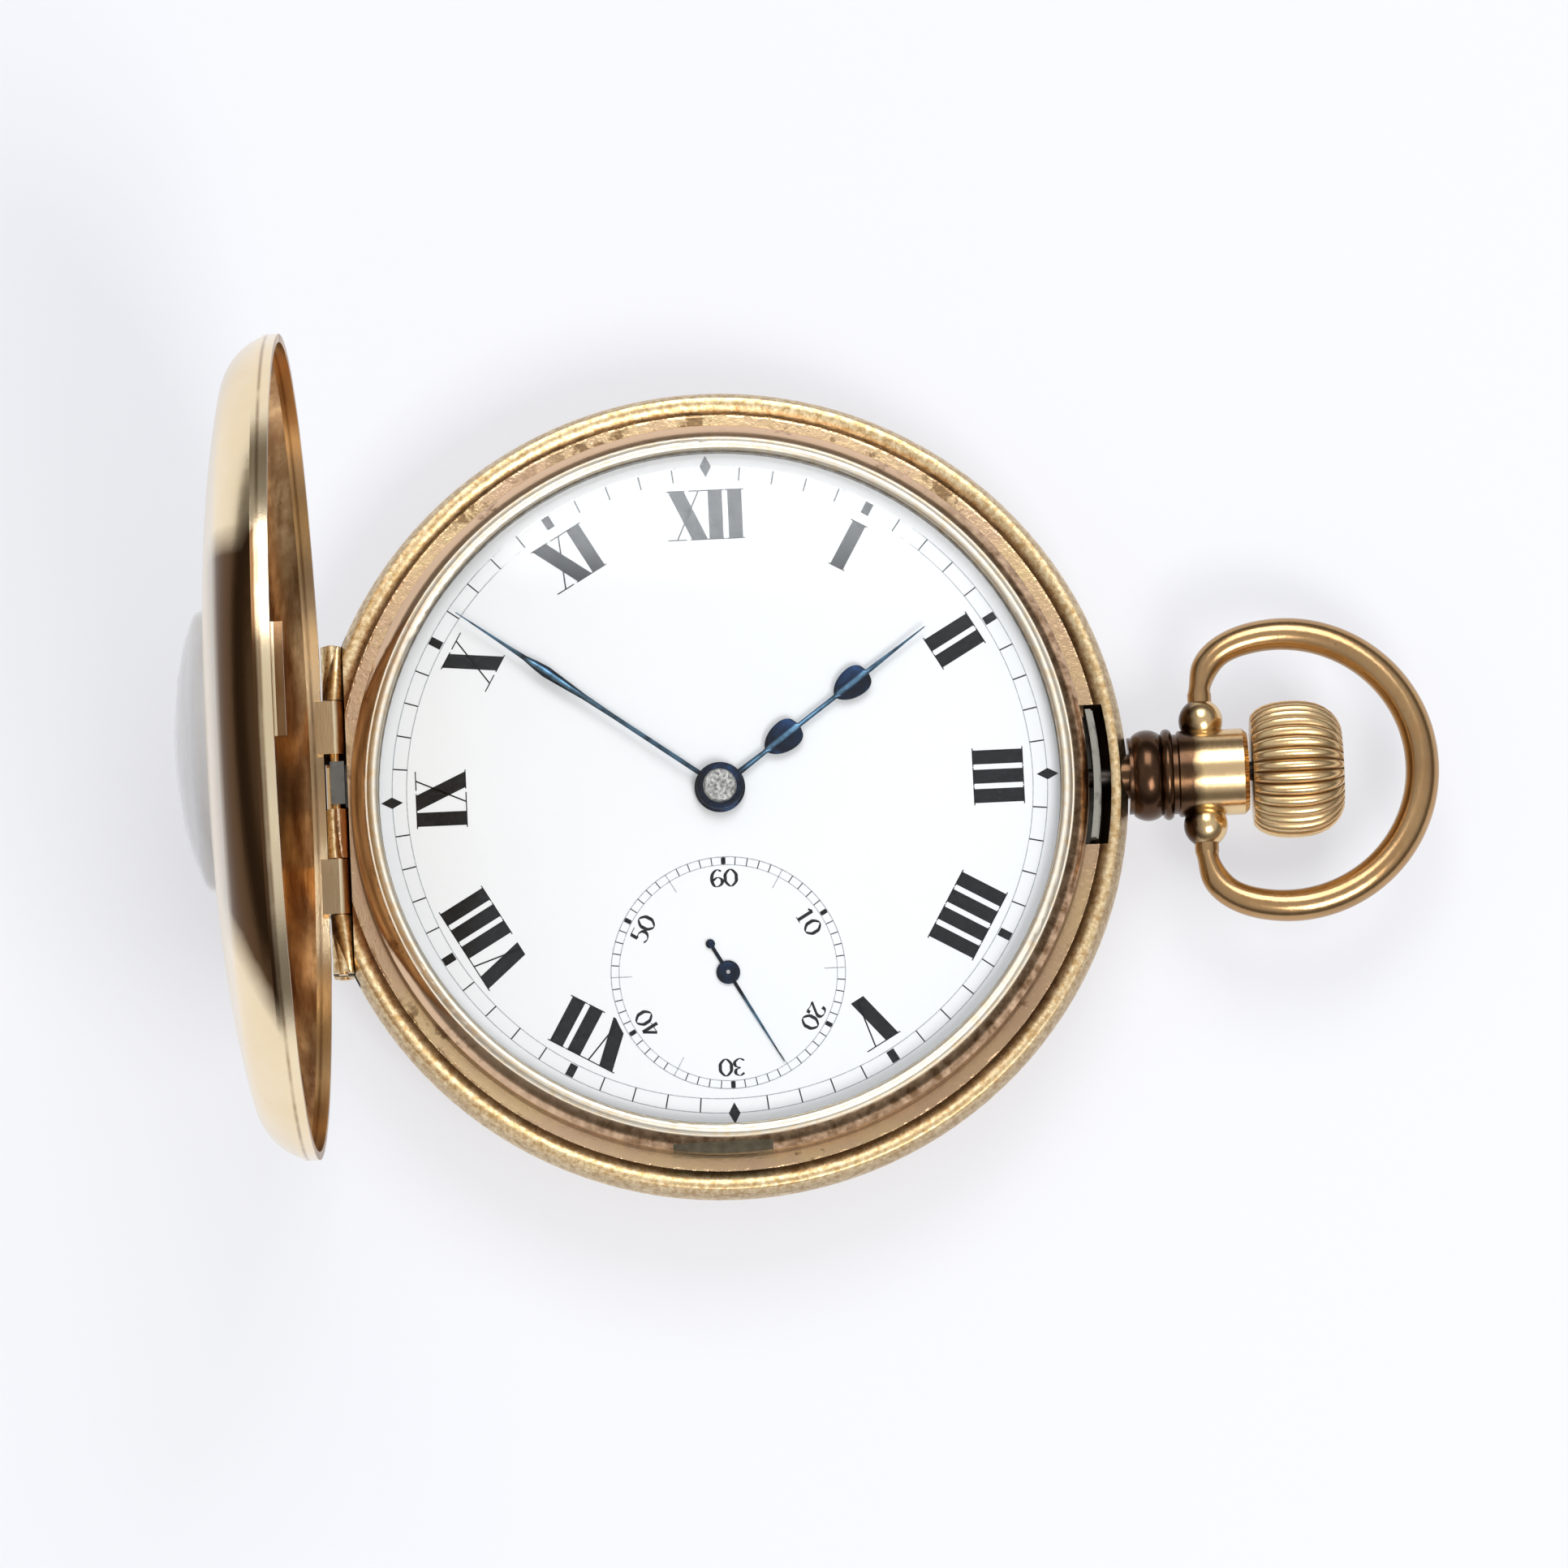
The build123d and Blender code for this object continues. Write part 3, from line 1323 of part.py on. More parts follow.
# Click that holds the ratchet wheel, and its spring
click_z = ratchet_z
click_length = 3.4
click_r = 0.8
click_nose_r = 0.25
click_bearing = bearing(click_centre, barrel) + 62
with BuildPart() as click:
    with BuildSketch(Plane.XY.offset(click_z)):
        nose = polar(click_length, click_bearing, click_centre)
        with Locations(click_centre):
            Circle(click_r)
        with Locations(nose):
            Circle(click_nose_r)
        with BuildLine():
            Polyline(
                polar(click_r, click_bearing + 90, click_centre),
                polar(click_nose_r, click_bearing + 90, nose),
                polar(click_nose_r, click_bearing - 90, nose),
                polar(click_r, click_bearing - 90, click_centre),
                close=True,
            )
        make_face()
    extrude(amount=ratchet_thick)
    with BuildSketch(Plane((click_centre[0], click_centre[1], click_z))):
        Circle(click_pin_r - fit)
    extrude(amount=bridge_top_z - click_z)
finish(click.part, "click")

with BuildPart() as click_spring:
    spring_arc_r = 11.28
    spring_strip = 0.12
    spring_start = 170
    spring_end = 194.5
    with BuildSketch(Plane((barrel[0], barrel[1], click_z + gap / 2))):
        with BuildLine():
            for radius in (spring_arc_r - spring_strip, spring_arc_r):
                ThreePointArc(
                    polar(radius, spring_start),
                    polar(radius, (spring_start + spring_end) / 2),
                    polar(radius, spring_end),
                )
            for angle in (spring_start, spring_end):
                Line(polar(spring_arc_r - spring_strip, angle), polar(spring_arc_r, angle))
        make_face()
    extrude(amount=ratchet_thick - gap)
    spring_post = polar(spring_arc_r, spring_start, barrel)
    with BuildSketch(Plane((spring_post[0], spring_post[1], click_z))):
        Circle(click_r)
    extrude(amount=bridge_z - click_z)
finish(click_spring.part, "click_spring")


def pinion(centre_point, low, high, leaves, pitch_r, phase, steps):
    """An arbor with its pinion leaves cut on it."""
    with BuildPart() as body:
        add(stacked(centre_point, steps))
        add(wheel(centre_point, low, high - low, leaves, pitch_r, phase, 0, pivot_r))
    return body.part


# Going train, from the centre to the escape wheel
pivot_end_z = bridge_z + jewel_thick + gap / 2
pivot_top_z = plate_z + jewel_thick
shoulder_z = plate_z - gap / 2
centre_arbor_r = 0.5
centre_wheel_z = 5.9
third_wheel_z = 4.95
fourth_wheel_z = 5.75
escape_wheel_z = 5.3
wheel_thick = 0.2
wheel_spokes = 5
pivot_steps = [(bridge_z, pivot_end_z, pivot_r), (pivot_end_z, shoulder_z, arbor_r)]
top_pivot = (shoulder_z, pivot_top_z, pivot_r)
cannon_bore_r = 0.35
cannon_top_z = 10.3
finish(
    pinion(
        centre,
        barrel_tooth_z,
        barrel_tooth_z + barrel_tooth_height,
        centre_leaves,
        centre_pinion_r,
        bearing(centre, barrel) + 180 / centre_leaves,
        pivot_steps
        + [
            (barrel_tooth_z, plate_top_z, centre_arbor_r),
            (plate_top_z, cannon_top_z - cannon_bore_r, cannon_bore_r),
        ],
    ),
    "centre_pinion",
)
finish(
    wheel(
        centre,
        centre_wheel_z,
        wheel_thick,
        centre_teeth,
        centre_wheel_r,
        bearing(centre, third),
        2 * centre_arbor_r,
        centre_arbor_r,
        5,
    ),
    "centre_wheel",
)
finish(
    pinion(
        third,
        third_wheel_z + 2 * wheel_thick,
        centre_wheel_z + 2 * wheel_thick,
        third_leaves,
        third_pinion_r,
        bearing(third, centre) + 180 / third_leaves,
        pivot_steps + [top_pivot],
    ),
    "third_pinion",
)
third_wheel = wheel(
    third, third_wheel_z, wheel_thick, third_teeth, third_wheel_r, bearing(third, fourth), 3 * room,
    arbor_r, wheel_spokes,
)
finish(third_wheel, "third_wheel")
finish(
    pinion(
        fourth,
        third_wheel_z - wheel_thick,
        third_wheel_z + 2.5 * wheel_thick,
        fourth_leaves,
        fourth_pinion_r,
        bearing(fourth, third) + 180 / fourth_leaves,
        pivot_steps + [(shoulder_z, seconds_hand_z + hand_thick, pivot_r)],
    ),
    "fourth_pinion",
)
fourth_wheel = wheel(
    fourth, fourth_wheel_z, wheel_thick, fourth_teeth, fourth_wheel_r, bearing(fourth, escape), 3 * room,
    arbor_r, wheel_spokes,
)
finish(fourth_wheel, "fourth_wheel")
finish(
    pinion(
        escape,
        fourth_wheel_z - wheel_thick / 2,
        fourth_wheel_z + 2 * wheel_thick,
        escape_leaves,
        escape_pinion_r,
        bearing(escape, fourth) + 180 / escape_leaves,
        pivot_steps + [top_pivot],
    ),
    "escape_pinion",
)

# Escape wheel with pointed teeth that lean
escape_r = 2.6
escape_root_r = 2.0
escape_lean_shares = (0.0, 0.12, 0.22, 0.42)
escape_step = 360 / escape_teeth
escape_points = []
for number in range(escape_teeth):
    for share, radius in zip(escape_lean_shares, (escape_root_r, escape_r, escape_r, escape_root_r)):
        escape_points.append(polar(radius, lever_angle + (number + 0.5 + share) * escape_step))
with BuildPart() as escape_wheel:
    with BuildSketch(Plane((escape[0], escape[1], escape_wheel_z))):
        with BuildLine():
            Polyline(*escape_points, close=True)
        make_face()
        for number in range(4):
            add(crossing(2 * room, escape_root_r - room, 90, number * 90), mode=Mode.SUBTRACT)
        Circle(arbor_r, mode=Mode.SUBTRACT)
    extrude(amount=wheel_thick)
finish(escape_wheel.part, "escape_wheel")

# Lever with its fork, and the two pallet stones that it carries
fork_z = 5.25
fork_thick = 0.3
roller_pin_reach = 0.85
roller_pin_r = 0.12
fork_end = lever_distance - pallet_distance - roller_pin_reach + roller_pin_r
fork_half = 0.28
fork_slot_half = 0.15
lever_half = 0.16
stone_length = 0.6
stone_width = 0.3
stone_gap = 0.15
stone_pad_r = 0.42
stone_places = []
for side in (-1, 1):
    point = polar(escape_r + stone_gap + stone_length / 2, lever_angle + side * 30, escape)
    stone_places.append((point, lever_angle + side * 30))
lever_way = polar(1, lever_angle)
lever_plane = Plane(origin=(pallet[0], pallet[1], fork_z), x_dir=(lever_way[0], lever_way[1], 0))
with BuildPart() as pallet_fork:
    with BuildSketch(lever_plane):
        Circle(2 * arbor_r)
        Rectangle(fork_end - fork_half, 2 * lever_half, align=(Align.MIN, Align.CENTER))
        with Locations((fork_end - 3 * fork_half, 0)):
            Rectangle(3 * fork_half, 2 * fork_half, align=(Align.MIN, Align.CENTER))
        with Locations((fork_end - 1.5 * fork_half, 0)):
            Rectangle(
                2 * fork_half, 2 * fork_slot_half, align=(Align.MIN, Align.CENTER), mode=Mode.SUBTRACT
            )
    extrude(amount=fork_thick)
    with BuildSketch(Plane.XY.offset(fork_z)):
        for point, angle in stone_places:
            arm = bearing(pallet, point)
            with BuildLine():
                Polyline(
                    polar(2 * lever_half, arm + 90, pallet),
                    polar(lever_half, arm + 90, point),
                    polar(lever_half, arm - 90, point),
                    polar(2 * lever_half, arm - 90, pallet),
                    close=True,
                )
            make_face()
            with Locations(point):
                Circle(stone_pad_r)
        with Locations(escape):
            Circle(escape_r + stone_gap + gap, mode=Mode.SUBTRACT)
        for point, angle in stone_places:
            with Locations(Location((point[0], point[1]), angle)):
                Rectangle(stone_length, stone_width, mode=Mode.SUBTRACT)
    extrude(amount=fork_thick)
    cock_top_z = pallet_cock_z + pallet_cock_thick + fit
    pallet_steps = [(pallet_cock_z, cock_top_z, pivot_r), (cock_top_z, shoulder_z, arbor_r), top_pivot]
    add(stacked(pallet, pallet_steps))
finish(pallet_fork.part, "pallet_fork")

with BuildPart() as pallet_stones:
    with BuildSketch(Plane.XY.offset(fork_z)):
        for point, angle in stone_places:
            with Locations(Location((point[0], point[1]), angle)):
                Rectangle(stone_length, stone_width)
    extrude(amount=fork_thick)
finish(pallet_stones.part, "pallet_stones")

# Balance: rim with its screws, staff with the roller, hairspring and regulator
balance_r = 4.9
balance_rim = 0.5
balance_z = 4.05
balance_height = 0.6
balance_arm = 0.9
balance_screws = 14
balance_screw_r = 0.2
balance_screw_length = 0.35
rest_turn = lever_angle + 180 + 150
with BuildPart() as balance_wheel:
    with BuildSketch(Plane((balance_x, balance_y, balance_z))):
        Circle(balance_r)
        Circle(balance_r - balance_rim, mode=Mode.SUBTRACT)
    extrude(amount=balance_height)
    with BuildSketch(Plane((balance_x, balance_y, balance_z + gap))):
        Circle(balance_r - balance_rim / 2)
        Circle(balance_r - balance_rim, mode=Mode.SUBTRACT)
        Circle(balance_arm)
        with Locations(Location((0, 0), rest_turn)):
            Rectangle(2 * balance_r - balance_rim, balance_arm)
        Circle(arbor_r, mode=Mode.SUBTRACT)
    extrude(amount=balance_height / 2)
    for number in range(balance_screws):
        turn = rest_turn + (number + 0.5) * 360 / balance_screws
        x, y = polar(balance_r - balance_rim / 2, turn, balance)
        way = polar(1, turn)
        with BuildSketch(Plane(origin=(x, y, balance_z + balance_height / 2), z_dir=(way[0], way[1], 0))):
            Circle(balance_screw_r)
        extrude(amount=balance_rim / 2 + balance_screw_length)
finish(balance_wheel.part, "balance_wheel")

roller_z = 4.85
roller_r = 1.05
roller_thick = 0.2
collet_r = 0.5
hairspring_z = 3.52
hairspring_height = 0.25
staff_pivot_z = cock_z + jewel_thick + gap / 2
with BuildPart() as balance_staff:
    add(
        stacked(
            balance,
            [
                (cock_z, staff_pivot_z, pivot_r),
                (staff_pivot_z, shoulder_z, arbor_r),
                (hairspring_z, hairspring_z + hairspring_height, collet_r),
                (roller_z, roller_z + roller_thick, roller_r),
                top_pivot,
            ],
        )
    )
    pin_place = polar(roller_pin_reach, rest_turn, balance)
    with BuildSketch(Plane((pin_place[0], pin_place[1], roller_z))):
        Circle(roller_pin_r)
    extrude(amount=fork_z + fork_thick - roller_z)
finish(balance_staff.part, "balance_staff")

hair_strip = 0.06
hair_turns = 8
hair_r = 2.6
hairspring = spiral(
    balance, collet_r + hair_strip, hair_r, hair_turns, hair_strip, hairspring_z, hairspring_height
)
finish(hairspring, "hairspring")

regulator_z = 2.35
regulator_thick = 0.25
regulator_length = 3.6
regulator_angle = cock_bearing + 128
with BuildPart() as regulator:
    with BuildSketch(Plane.XY.offset(regulator_z)):
        with Locations(balance):
            Circle(cock_end_r - gap)
        with BuildLine():
            tip = polar(regulator_length, regulator_angle, balance)
            Polyline(
                polar(2 * arbor_r, regulator_angle + 90, balance),
                polar(pivot_r, regulator_angle + 90, tip),
                polar(pivot_r, regulator_angle - 90, tip),
                polar(2 * arbor_r, regulator_angle - 90, balance),
                close=True,
            )
        make_face()
        with Locations(balance):
            Circle(jewel_r, mode=Mode.SUBTRACT)
    extrude(amount=regulator_thick)
finish(regulator.part, "regulator")

# Jewels, pressed into the bridges, the cock and the plate
with BuildPart() as jewels:
    small_r = jewel_r - room
    seats = [(centre, bridge_z, jewel_r), (balance, cock_z, jewel_r)]
    seats += [(point, bridge_z, small_r) for point in (third, fourth, escape)]
    seats += [(point, plate_z, jewel_r) for point in train_arbors[1:]]
    for point, low, radius in seats:
        with BuildSketch(Plane((point[0], point[1], low))):
            Circle(radius)
            Circle(pivot_r + fit, mode=Mode.SUBTRACT)
        extrude(amount=jewel_thick)
finish(jewels.part, "jewels")

# Winding pinion and sliding clutch on the stem
pinion_x = crown_wheel_x + rim_inner_r
pinion_length = rim_outer_r - rim_inner_r + room
winding_pinion_r = (rim_inner_r + rim_outer_r) / 2 * winding_teeth / crown_wheel_teeth
with BuildPart() as winding_pinion:
    with BuildSketch(along_x(pinion_x)):
        with BuildLine():
            Polyline(*tooth_points(winding_teeth, winding_pinion_r, -90), close=True)
        make_face()
        Circle(stem_r + fit, mode=Mode.SUBTRACT)
    extrude(amount=pinion_length)
finish(winding_pinion.part, "winding_pinion")

clutch_r = 1.35
clutch_length = 1.1
clutch_groove = 0.3
clutch_x = pinion_x - 2 * gap - clutch_length
with BuildPart() as sliding_clutch:
    with BuildSketch(along_x(clutch_x)):
        Circle(clutch_r)
        Circle(stem_r + fit, mode=Mode.SUBTRACT)
    extrude(amount=clutch_length)
    with BuildSketch(along_x(clutch_x + clutch_length / 3)):
        Circle(clutch_r)
        Circle(clutch_r - clutch_groove, mode=Mode.SUBTRACT)
    extrude(amount=clutch_length / 3, mode=Mode.SUBTRACT)
finish(sliding_clutch.part, "sliding_clutch")

# Setting lever and yoke on the dial side of the plate, each on its pin
lever_z = 7.55
lever_thick = 0.3
lever_pin_r = 0.4
setting_lever_centre, setting_lever_end = (16.6, 3.4), (12.2, 3.1)
yoke_centre, yoke_end = (9.6, -4.6), (12.3, -2.6)
lever_r = 0.9
lever_end_r = 0.4
for name, start, end in (
    ("setting_lever", setting_lever_centre, setting_lever_end),
    ("yoke", yoke_centre, yoke_end),
):
    way = bearing(start, end)
    with BuildPart() as flat_lever:
        with BuildSketch(Plane.XY.offset(lever_z)):
            with Locations(start):
                Circle(lever_r)
            with Locations(end):
                Circle(lever_end_r)
            with BuildLine():
                Polyline(
                    polar(lever_r, way + 90, start),
                    polar(lever_end_r, way + 90, end),
                    polar(lever_end_r, way - 90, end),
                    polar(lever_r, way - 90, start),
                    close=True,
                )
            make_face()
            with Locations(start):
                Circle(lever_pin_r + fit, mode=Mode.SUBTRACT)
        extrude(amount=lever_thick)
    finish(flat_lever.part, name)

# Motion works: cannon pinion, minute wheel with its pinion, hour wheel with its pipe, setting wheel
hour_pipe_r = 1.0
hour_bore_r = 0.7
cannon_pipe_r = 0.62
cannon_head_r = 1.05
cannon_height = 0.32
minute_pinion_z = 7.8
hour_wheel_z = 7.98
hour_wheel_thick = 0.17
minute_hand_top_z = minute_hand_z + hand_thick
with BuildPart() as cannon_pinion:
    add(
        stacked(
            centre,
            [
                (motion_z, minute_hand_top_z, cannon_pipe_r),
                (minute_hand_top_z, cannon_top_z, cannon_head_r),
            ],
        )
    )
    add(wheel(centre, motion_z, cannon_height, cannon_leaves, cannon_r, 0, 0, cannon_bore_r))
    fillet(cannon_pinion.edges().group_by(Axis.Z)[-1], cannon_bore_r / 2)
    with BuildSketch(Plane.XY.offset(motion_z)):
        Circle(cannon_bore_r + fit)
    extrude(amount=cannon_top_z - cannon_bore_r + gap - motion_z, mode=Mode.SUBTRACT)
finish(cannon_pinion.part, "cannon_pinion")

minute_axis = (minute_wheel_x, 0)
with BuildPart() as minute_wheel:
    minute_bore_r = motion_post_r + fit
    minute_phase = 180 + 180 / minute_teeth
    add(
        wheel(
            minute_axis, motion_z, motion_thick, minute_teeth, minute_wheel_r, minute_phase, 0, minute_bore_r
        )
    )
    minute_leaf_height = hour_wheel_z + hour_wheel_thick - minute_pinion_z
    add(
        wheel(
            minute_axis, minute_pinion_z, minute_leaf_height, minute_leaves, minute_pinion_r, 180, 0,
            minute_bore_r,
        )
    )
finish(minute_wheel.part, "minute_wheel")

with BuildPart() as hour_wheel:
    hour_phase = 180 / hour_teeth
    add(wheel(centre, hour_wheel_z, hour_wheel_thick, hour_teeth, hour_wheel_r, hour_phase, 0, hour_bore_r))
    with BuildSketch(Plane.XY.offset(hour_wheel_z)):
        Circle(hour_pipe_r)
        Circle(hour_bore_r, mode=Mode.SUBTRACT)
    extrude(amount=hour_hand_z + hand_thick - hour_wheel_z)
finish(hour_wheel.part, "hour_wheel")

setting_wheel = wheel(
    (setting_wheel_x, 0), motion_z, motion_thick, setting_wheel_teeth, setting_wheel_r, 180, 0,
    motion_post_r + fit,
)
finish(setting_wheel, "setting_wheel")

# Dial with its feet
dial_hole_r = 1.2
seconds_hole_r = 0.3
with BuildPart() as dial:
    with BuildSketch(Plane.XY.offset(dial_z)):
        Circle(dial_r)
        Circle(dial_hole_r, mode=Mode.SUBTRACT)
        with Locations(fourth):
            Circle(seconds_hole_r, mode=Mode.SUBTRACT)
    extrude(amount=dial_top_z - dial_z)
    fillet(dial.edges().group_by(Axis.Z)[-1].sort_by(SortBy.LENGTH)[-1], room / 2)
    for foot in feet:
        with BuildSketch(Plane((foot[0], foot[1], plate_z + gap))):
            Circle(foot_r)
        extrude(amount=dial_z - plate_z - gap)
finish(dial.part, "dial")

# Hands
hour_boss_r = 1.6
minute_boss_r = 1.45
seconds_boss_r = 0.75
hour_bulb_r = 1.05
hour_bulb_shares = (0.33, 0.66)
hour_shaft = 0.4
bulb_tail_share = 0.85


def hand_plane(z, angle, point=(0, 0)):
    """A sketch plane at a hand's height whose X runs out along the hand."""
    way = polar(1, angle)
    return Plane(origin=(point[0], point[1], z), x_dir=(way[0], way[1], 0))


with BuildPart() as hour_hand:
    with BuildSketch(hand_plane(hour_hand_z, hour_angle)):
        Circle(hour_boss_r)
        first, second = [share * hour_hand_length for share in hour_bulb_shares]
        Rectangle(second, hour_shaft, align=(Align.MIN, Align.CENTER))
        tail = bulb_tail_share * hour_bulb_r
        for place in (first, second):
            with Locations((place, 0)):
                Circle(hour_bulb_r)
            with BuildLine():
                Polyline(
                    (place - 2 * hour_bulb_r, 0),
                    (place - hour_bulb_r / 2, tail),
                    (place - hour_bulb_r / 2, -tail),
                    close=True,
                )
            make_face()
        with BuildLine():
            Polyline(
                (second, hour_shaft / 2),
                (hour_hand_length, 0),
                (second, -hour_shaft / 2),
                close=True,
            )
        make_face()
        Circle(hour_pipe_r, mode=Mode.SUBTRACT)
    extrude(amount=hand_thick)
finish(hour_hand.part, "hour_hand")

minute_shaft, minute_swell, minute_swell_share = 0.3, 1.05, 0.655
with BuildPart() as minute_hand:
    with BuildSketch(hand_plane(minute_hand_z, minute_angle)):
        Circle(minute_boss_r)
        swell_x = minute_swell_share * minute_hand_length
        with BuildLine():
            Polyline(
                (0, minute_shaft / 2),
                (swell_x - 4 * minute_swell, minute_shaft / 2),
                (swell_x, minute_swell / 2),
                (swell_x + minute_swell, minute_shaft / 2),
                (minute_hand_length, 0),
                (swell_x + minute_swell, -minute_shaft / 2),
                (swell_x, -minute_swell / 2),
                (swell_x - 4 * minute_swell, -minute_shaft / 2),
                (0, -minute_shaft / 2),
                close=True,
            )
        make_face()
        Circle(cannon_pipe_r, mode=Mode.SUBTRACT)
    extrude(amount=hand_thick)
finish(minute_hand.part, "minute_hand")

seconds_thick = 0.12
seconds_shaft = 0.2
seconds_tail = 2.1
seconds_disc_r = 0.3
with BuildPart() as seconds_hand:
    with BuildSketch(hand_plane(seconds_hand_z, seconds_angle, fourth)):
        Circle(seconds_boss_r)
        with BuildLine():
            Polyline(
                (-seconds_tail, seconds_shaft / 2),
                (seconds_hand_length, seconds_shaft / 4),
                (seconds_hand_length, -seconds_shaft / 4),
                (-seconds_tail, -seconds_shaft / 2),
                close=True,
            )
        make_face()
        with Locations((-seconds_tail, 0)):
            Circle(seconds_disc_r)
        Circle(pivot_r, mode=Mode.SUBTRACT)
    extrude(amount=seconds_thick)
finish(seconds_hand.part, "seconds_hand")

# Screws of the movement: bridges, cock and case, all alike, and the pins of the two levers
with BuildPart() as movement_screws:
    places = [(point, bridge_z) for point in bridge_screws]
    places += [(cock_screws[0], cock_z + screw_head)]
    places += [(point, plate_z) for point in case_screws]
    for point, head_z in places:
        add(
            stacked(
                point,
                [
                    (head_z - screw_head, head_z, screw_head_r),
                    (head_z, plate_top_z - gap, screw_r),
                ],
            )
        )
        with Locations((point[0], point[1], head_z - screw_head)):
            Box(2 * screw_head_r, screw_r / 2, screw_head / 2, mode=Mode.SUBTRACT)
    for point in (setting_lever_centre, yoke_centre):
        add(stacked(point, [(plate_top_z, lever_z + lever_thick + gap / 2, lever_pin_r)]))
finish(movement_screws.part, "movement_screws")

with BuildPart() as spring_screws:
    for angle, clear in zip(spring_screws_deg, (lock_press_room, fit)):
        head_inner_r = spring_inner_r - clear - room
        add(radial_hole(angle, spring_screw_r, head_inner_r, bezel_r))
        add(radial_hole(angle, spring_screw_head_r, head_inner_r, spring_inner_r - clear))
finish(spring_screws.part, "spring_screws")
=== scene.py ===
"""Half hunter pocket watch: finishes, printed dial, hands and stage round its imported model."""

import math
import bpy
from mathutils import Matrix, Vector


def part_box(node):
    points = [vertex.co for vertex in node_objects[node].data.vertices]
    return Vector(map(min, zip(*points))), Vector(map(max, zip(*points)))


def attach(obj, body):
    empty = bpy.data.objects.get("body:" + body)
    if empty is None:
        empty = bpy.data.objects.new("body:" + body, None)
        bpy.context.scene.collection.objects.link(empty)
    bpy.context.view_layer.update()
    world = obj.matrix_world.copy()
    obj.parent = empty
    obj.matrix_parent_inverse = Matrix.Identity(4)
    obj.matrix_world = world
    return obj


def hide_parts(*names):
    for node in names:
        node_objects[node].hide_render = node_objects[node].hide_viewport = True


bl_info = {
    "name": "Half hunter pocket watch",
    "version": (1, 0, 0),
    "blender": (4, 5, 0),
    "location": "3D View > Sidebar > Watch",
    "description": "Dresses a half hunter pocket watch: gold case, enamel dial and blued hands",
    "category": "Object",
}

import bmesh
import bpy
from bpy.props import FloatProperty, FloatVectorProperty, PointerProperty
from mathutils import Matrix, Vector

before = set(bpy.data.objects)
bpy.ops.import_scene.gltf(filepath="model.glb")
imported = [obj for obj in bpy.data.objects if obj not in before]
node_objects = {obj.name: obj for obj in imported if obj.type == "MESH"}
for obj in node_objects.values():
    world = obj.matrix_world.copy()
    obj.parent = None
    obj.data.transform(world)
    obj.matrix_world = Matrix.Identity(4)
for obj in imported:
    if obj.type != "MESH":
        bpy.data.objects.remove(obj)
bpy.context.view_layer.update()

MM = 0.001
arbor_low, arbor_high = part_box("fourth_pinion")
crown_low, crown_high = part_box("crown")
lens_low, lens_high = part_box("lid_window_glass")
DIAL_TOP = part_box("dial")[1].z
SECONDS_CENTRE = ((arbor_low + arbor_high) / 2).to_2d() / MM
CROWN_CENTRE = (crown_low + crown_high) / 2
CROWN_RIBS = 32
GLASS_RADIUS = 7.85

# Angles of the hands in degrees, counter-clockwise from three o'clock
HOUR_ANGLE, MINUTE_ANGLE, SECONDS_ANGLE = 35.9, 143.7, -60.6

# The open lid leans back past upright on its hinge; its places are in millimetres
LID_TILT = math.radians(1.7)
LID_HINGE_X, LID_HINGE_Z = 23.9, 7.15
LID_MIDDLE_Z = LID_HINGE_Z + LID_HINGE_X
DOME_FOOT, DOME_CREST, CATCH_FROM = 1.2, 4.95, 50.0
WALL_FOOT, WALL_EDGE = 20.5, 24.2

# The dark reflection painted as a patch on the dome: its ragged ends across the lid close in
# towards the dome's crest, and it fades out towards the hinge
PATCH_RIGHT, PATCH_LEFT, PATCH_FADE, PATCH_FULL = -20.8, 12.0, 36.0, 44.0

# The glare on the crystal: its middle, its reach and its strength; and the paler edge painted on
# the window's glass as a sheen: its middle's height, where it starts and ends, and its strength
CRYSTAL_GLARE = (-2.0, 20.0, 22.0, 9.0, 0.012)
LENS_EDGE = (30.9, 6.9, 8.3, 0.3)

# Radii on the band and the bezel, from the watch's axis, in millimetres
LIP_EDGE, BEZEL_SLOPE, BEZEL_SEAM, BAND_SEAM = 21.18, 22.0, 22.1, 23.0
BAND_GROOVE, RIM_FOOT, RIM_CREST, RIM_HALF = 23.95, 24.0, 24.75, 0.85

# The lock spring's slot at three, the lid's hinge at nine and the thumbnail notch at six
SLOT_FROM, SLOT_TO, SLOT_HALF, SLOT_TOP = 22.95, 24.45, 4.55, 7.72
HINGE_FROM, HINGE_FOOT, HINGE_TOP = 22.9, 5.75, 7.0
NOTCH_FROM, NOTCH_LEFT, NOTCH_RIGHT = 22.3, -3.9, 2.3

# Where the pendant's darkened collar ends, and how far from its axis the balls meet its tube
COLLAR_END, TUBE_HALF = 30.2, 2.75

# How far up the dial the print is painted paler as the crystal's glare, and where it is palest
GLARE_FROM, GLARE_FULL = 9.5, 14.0

GOLD_NODES = ("back_cover", "lid_window_ring", "front_hinge_pin", "back_hinge_pin")
STEEL_NODES = (
    "stem_detent", "movement_screws", "spring_screws", "click", "click_spring", "ratchet_wheel",
    "crown_wheel", "barrel_arbor", "mainspring", "third_pinion", "fourth_pinion", "escape_pinion",
    "escape_wheel", "pallet_fork", "balance_staff", "regulator", "winding_pinion", "sliding_clutch",
    "setting_lever", "yoke", "setting_wheel",
)
BRASS_NODES = (
    "mainspring_barrel", "barrel_cover", "centre_wheel", "third_wheel", "fourth_wheel",
    "minute_wheel", "hour_wheel", "balance_wheel",
)
PLATE_NODES = ("main_plate", "barrel_bridge", "train_bridge", "balance_cock", "pallet_cock")


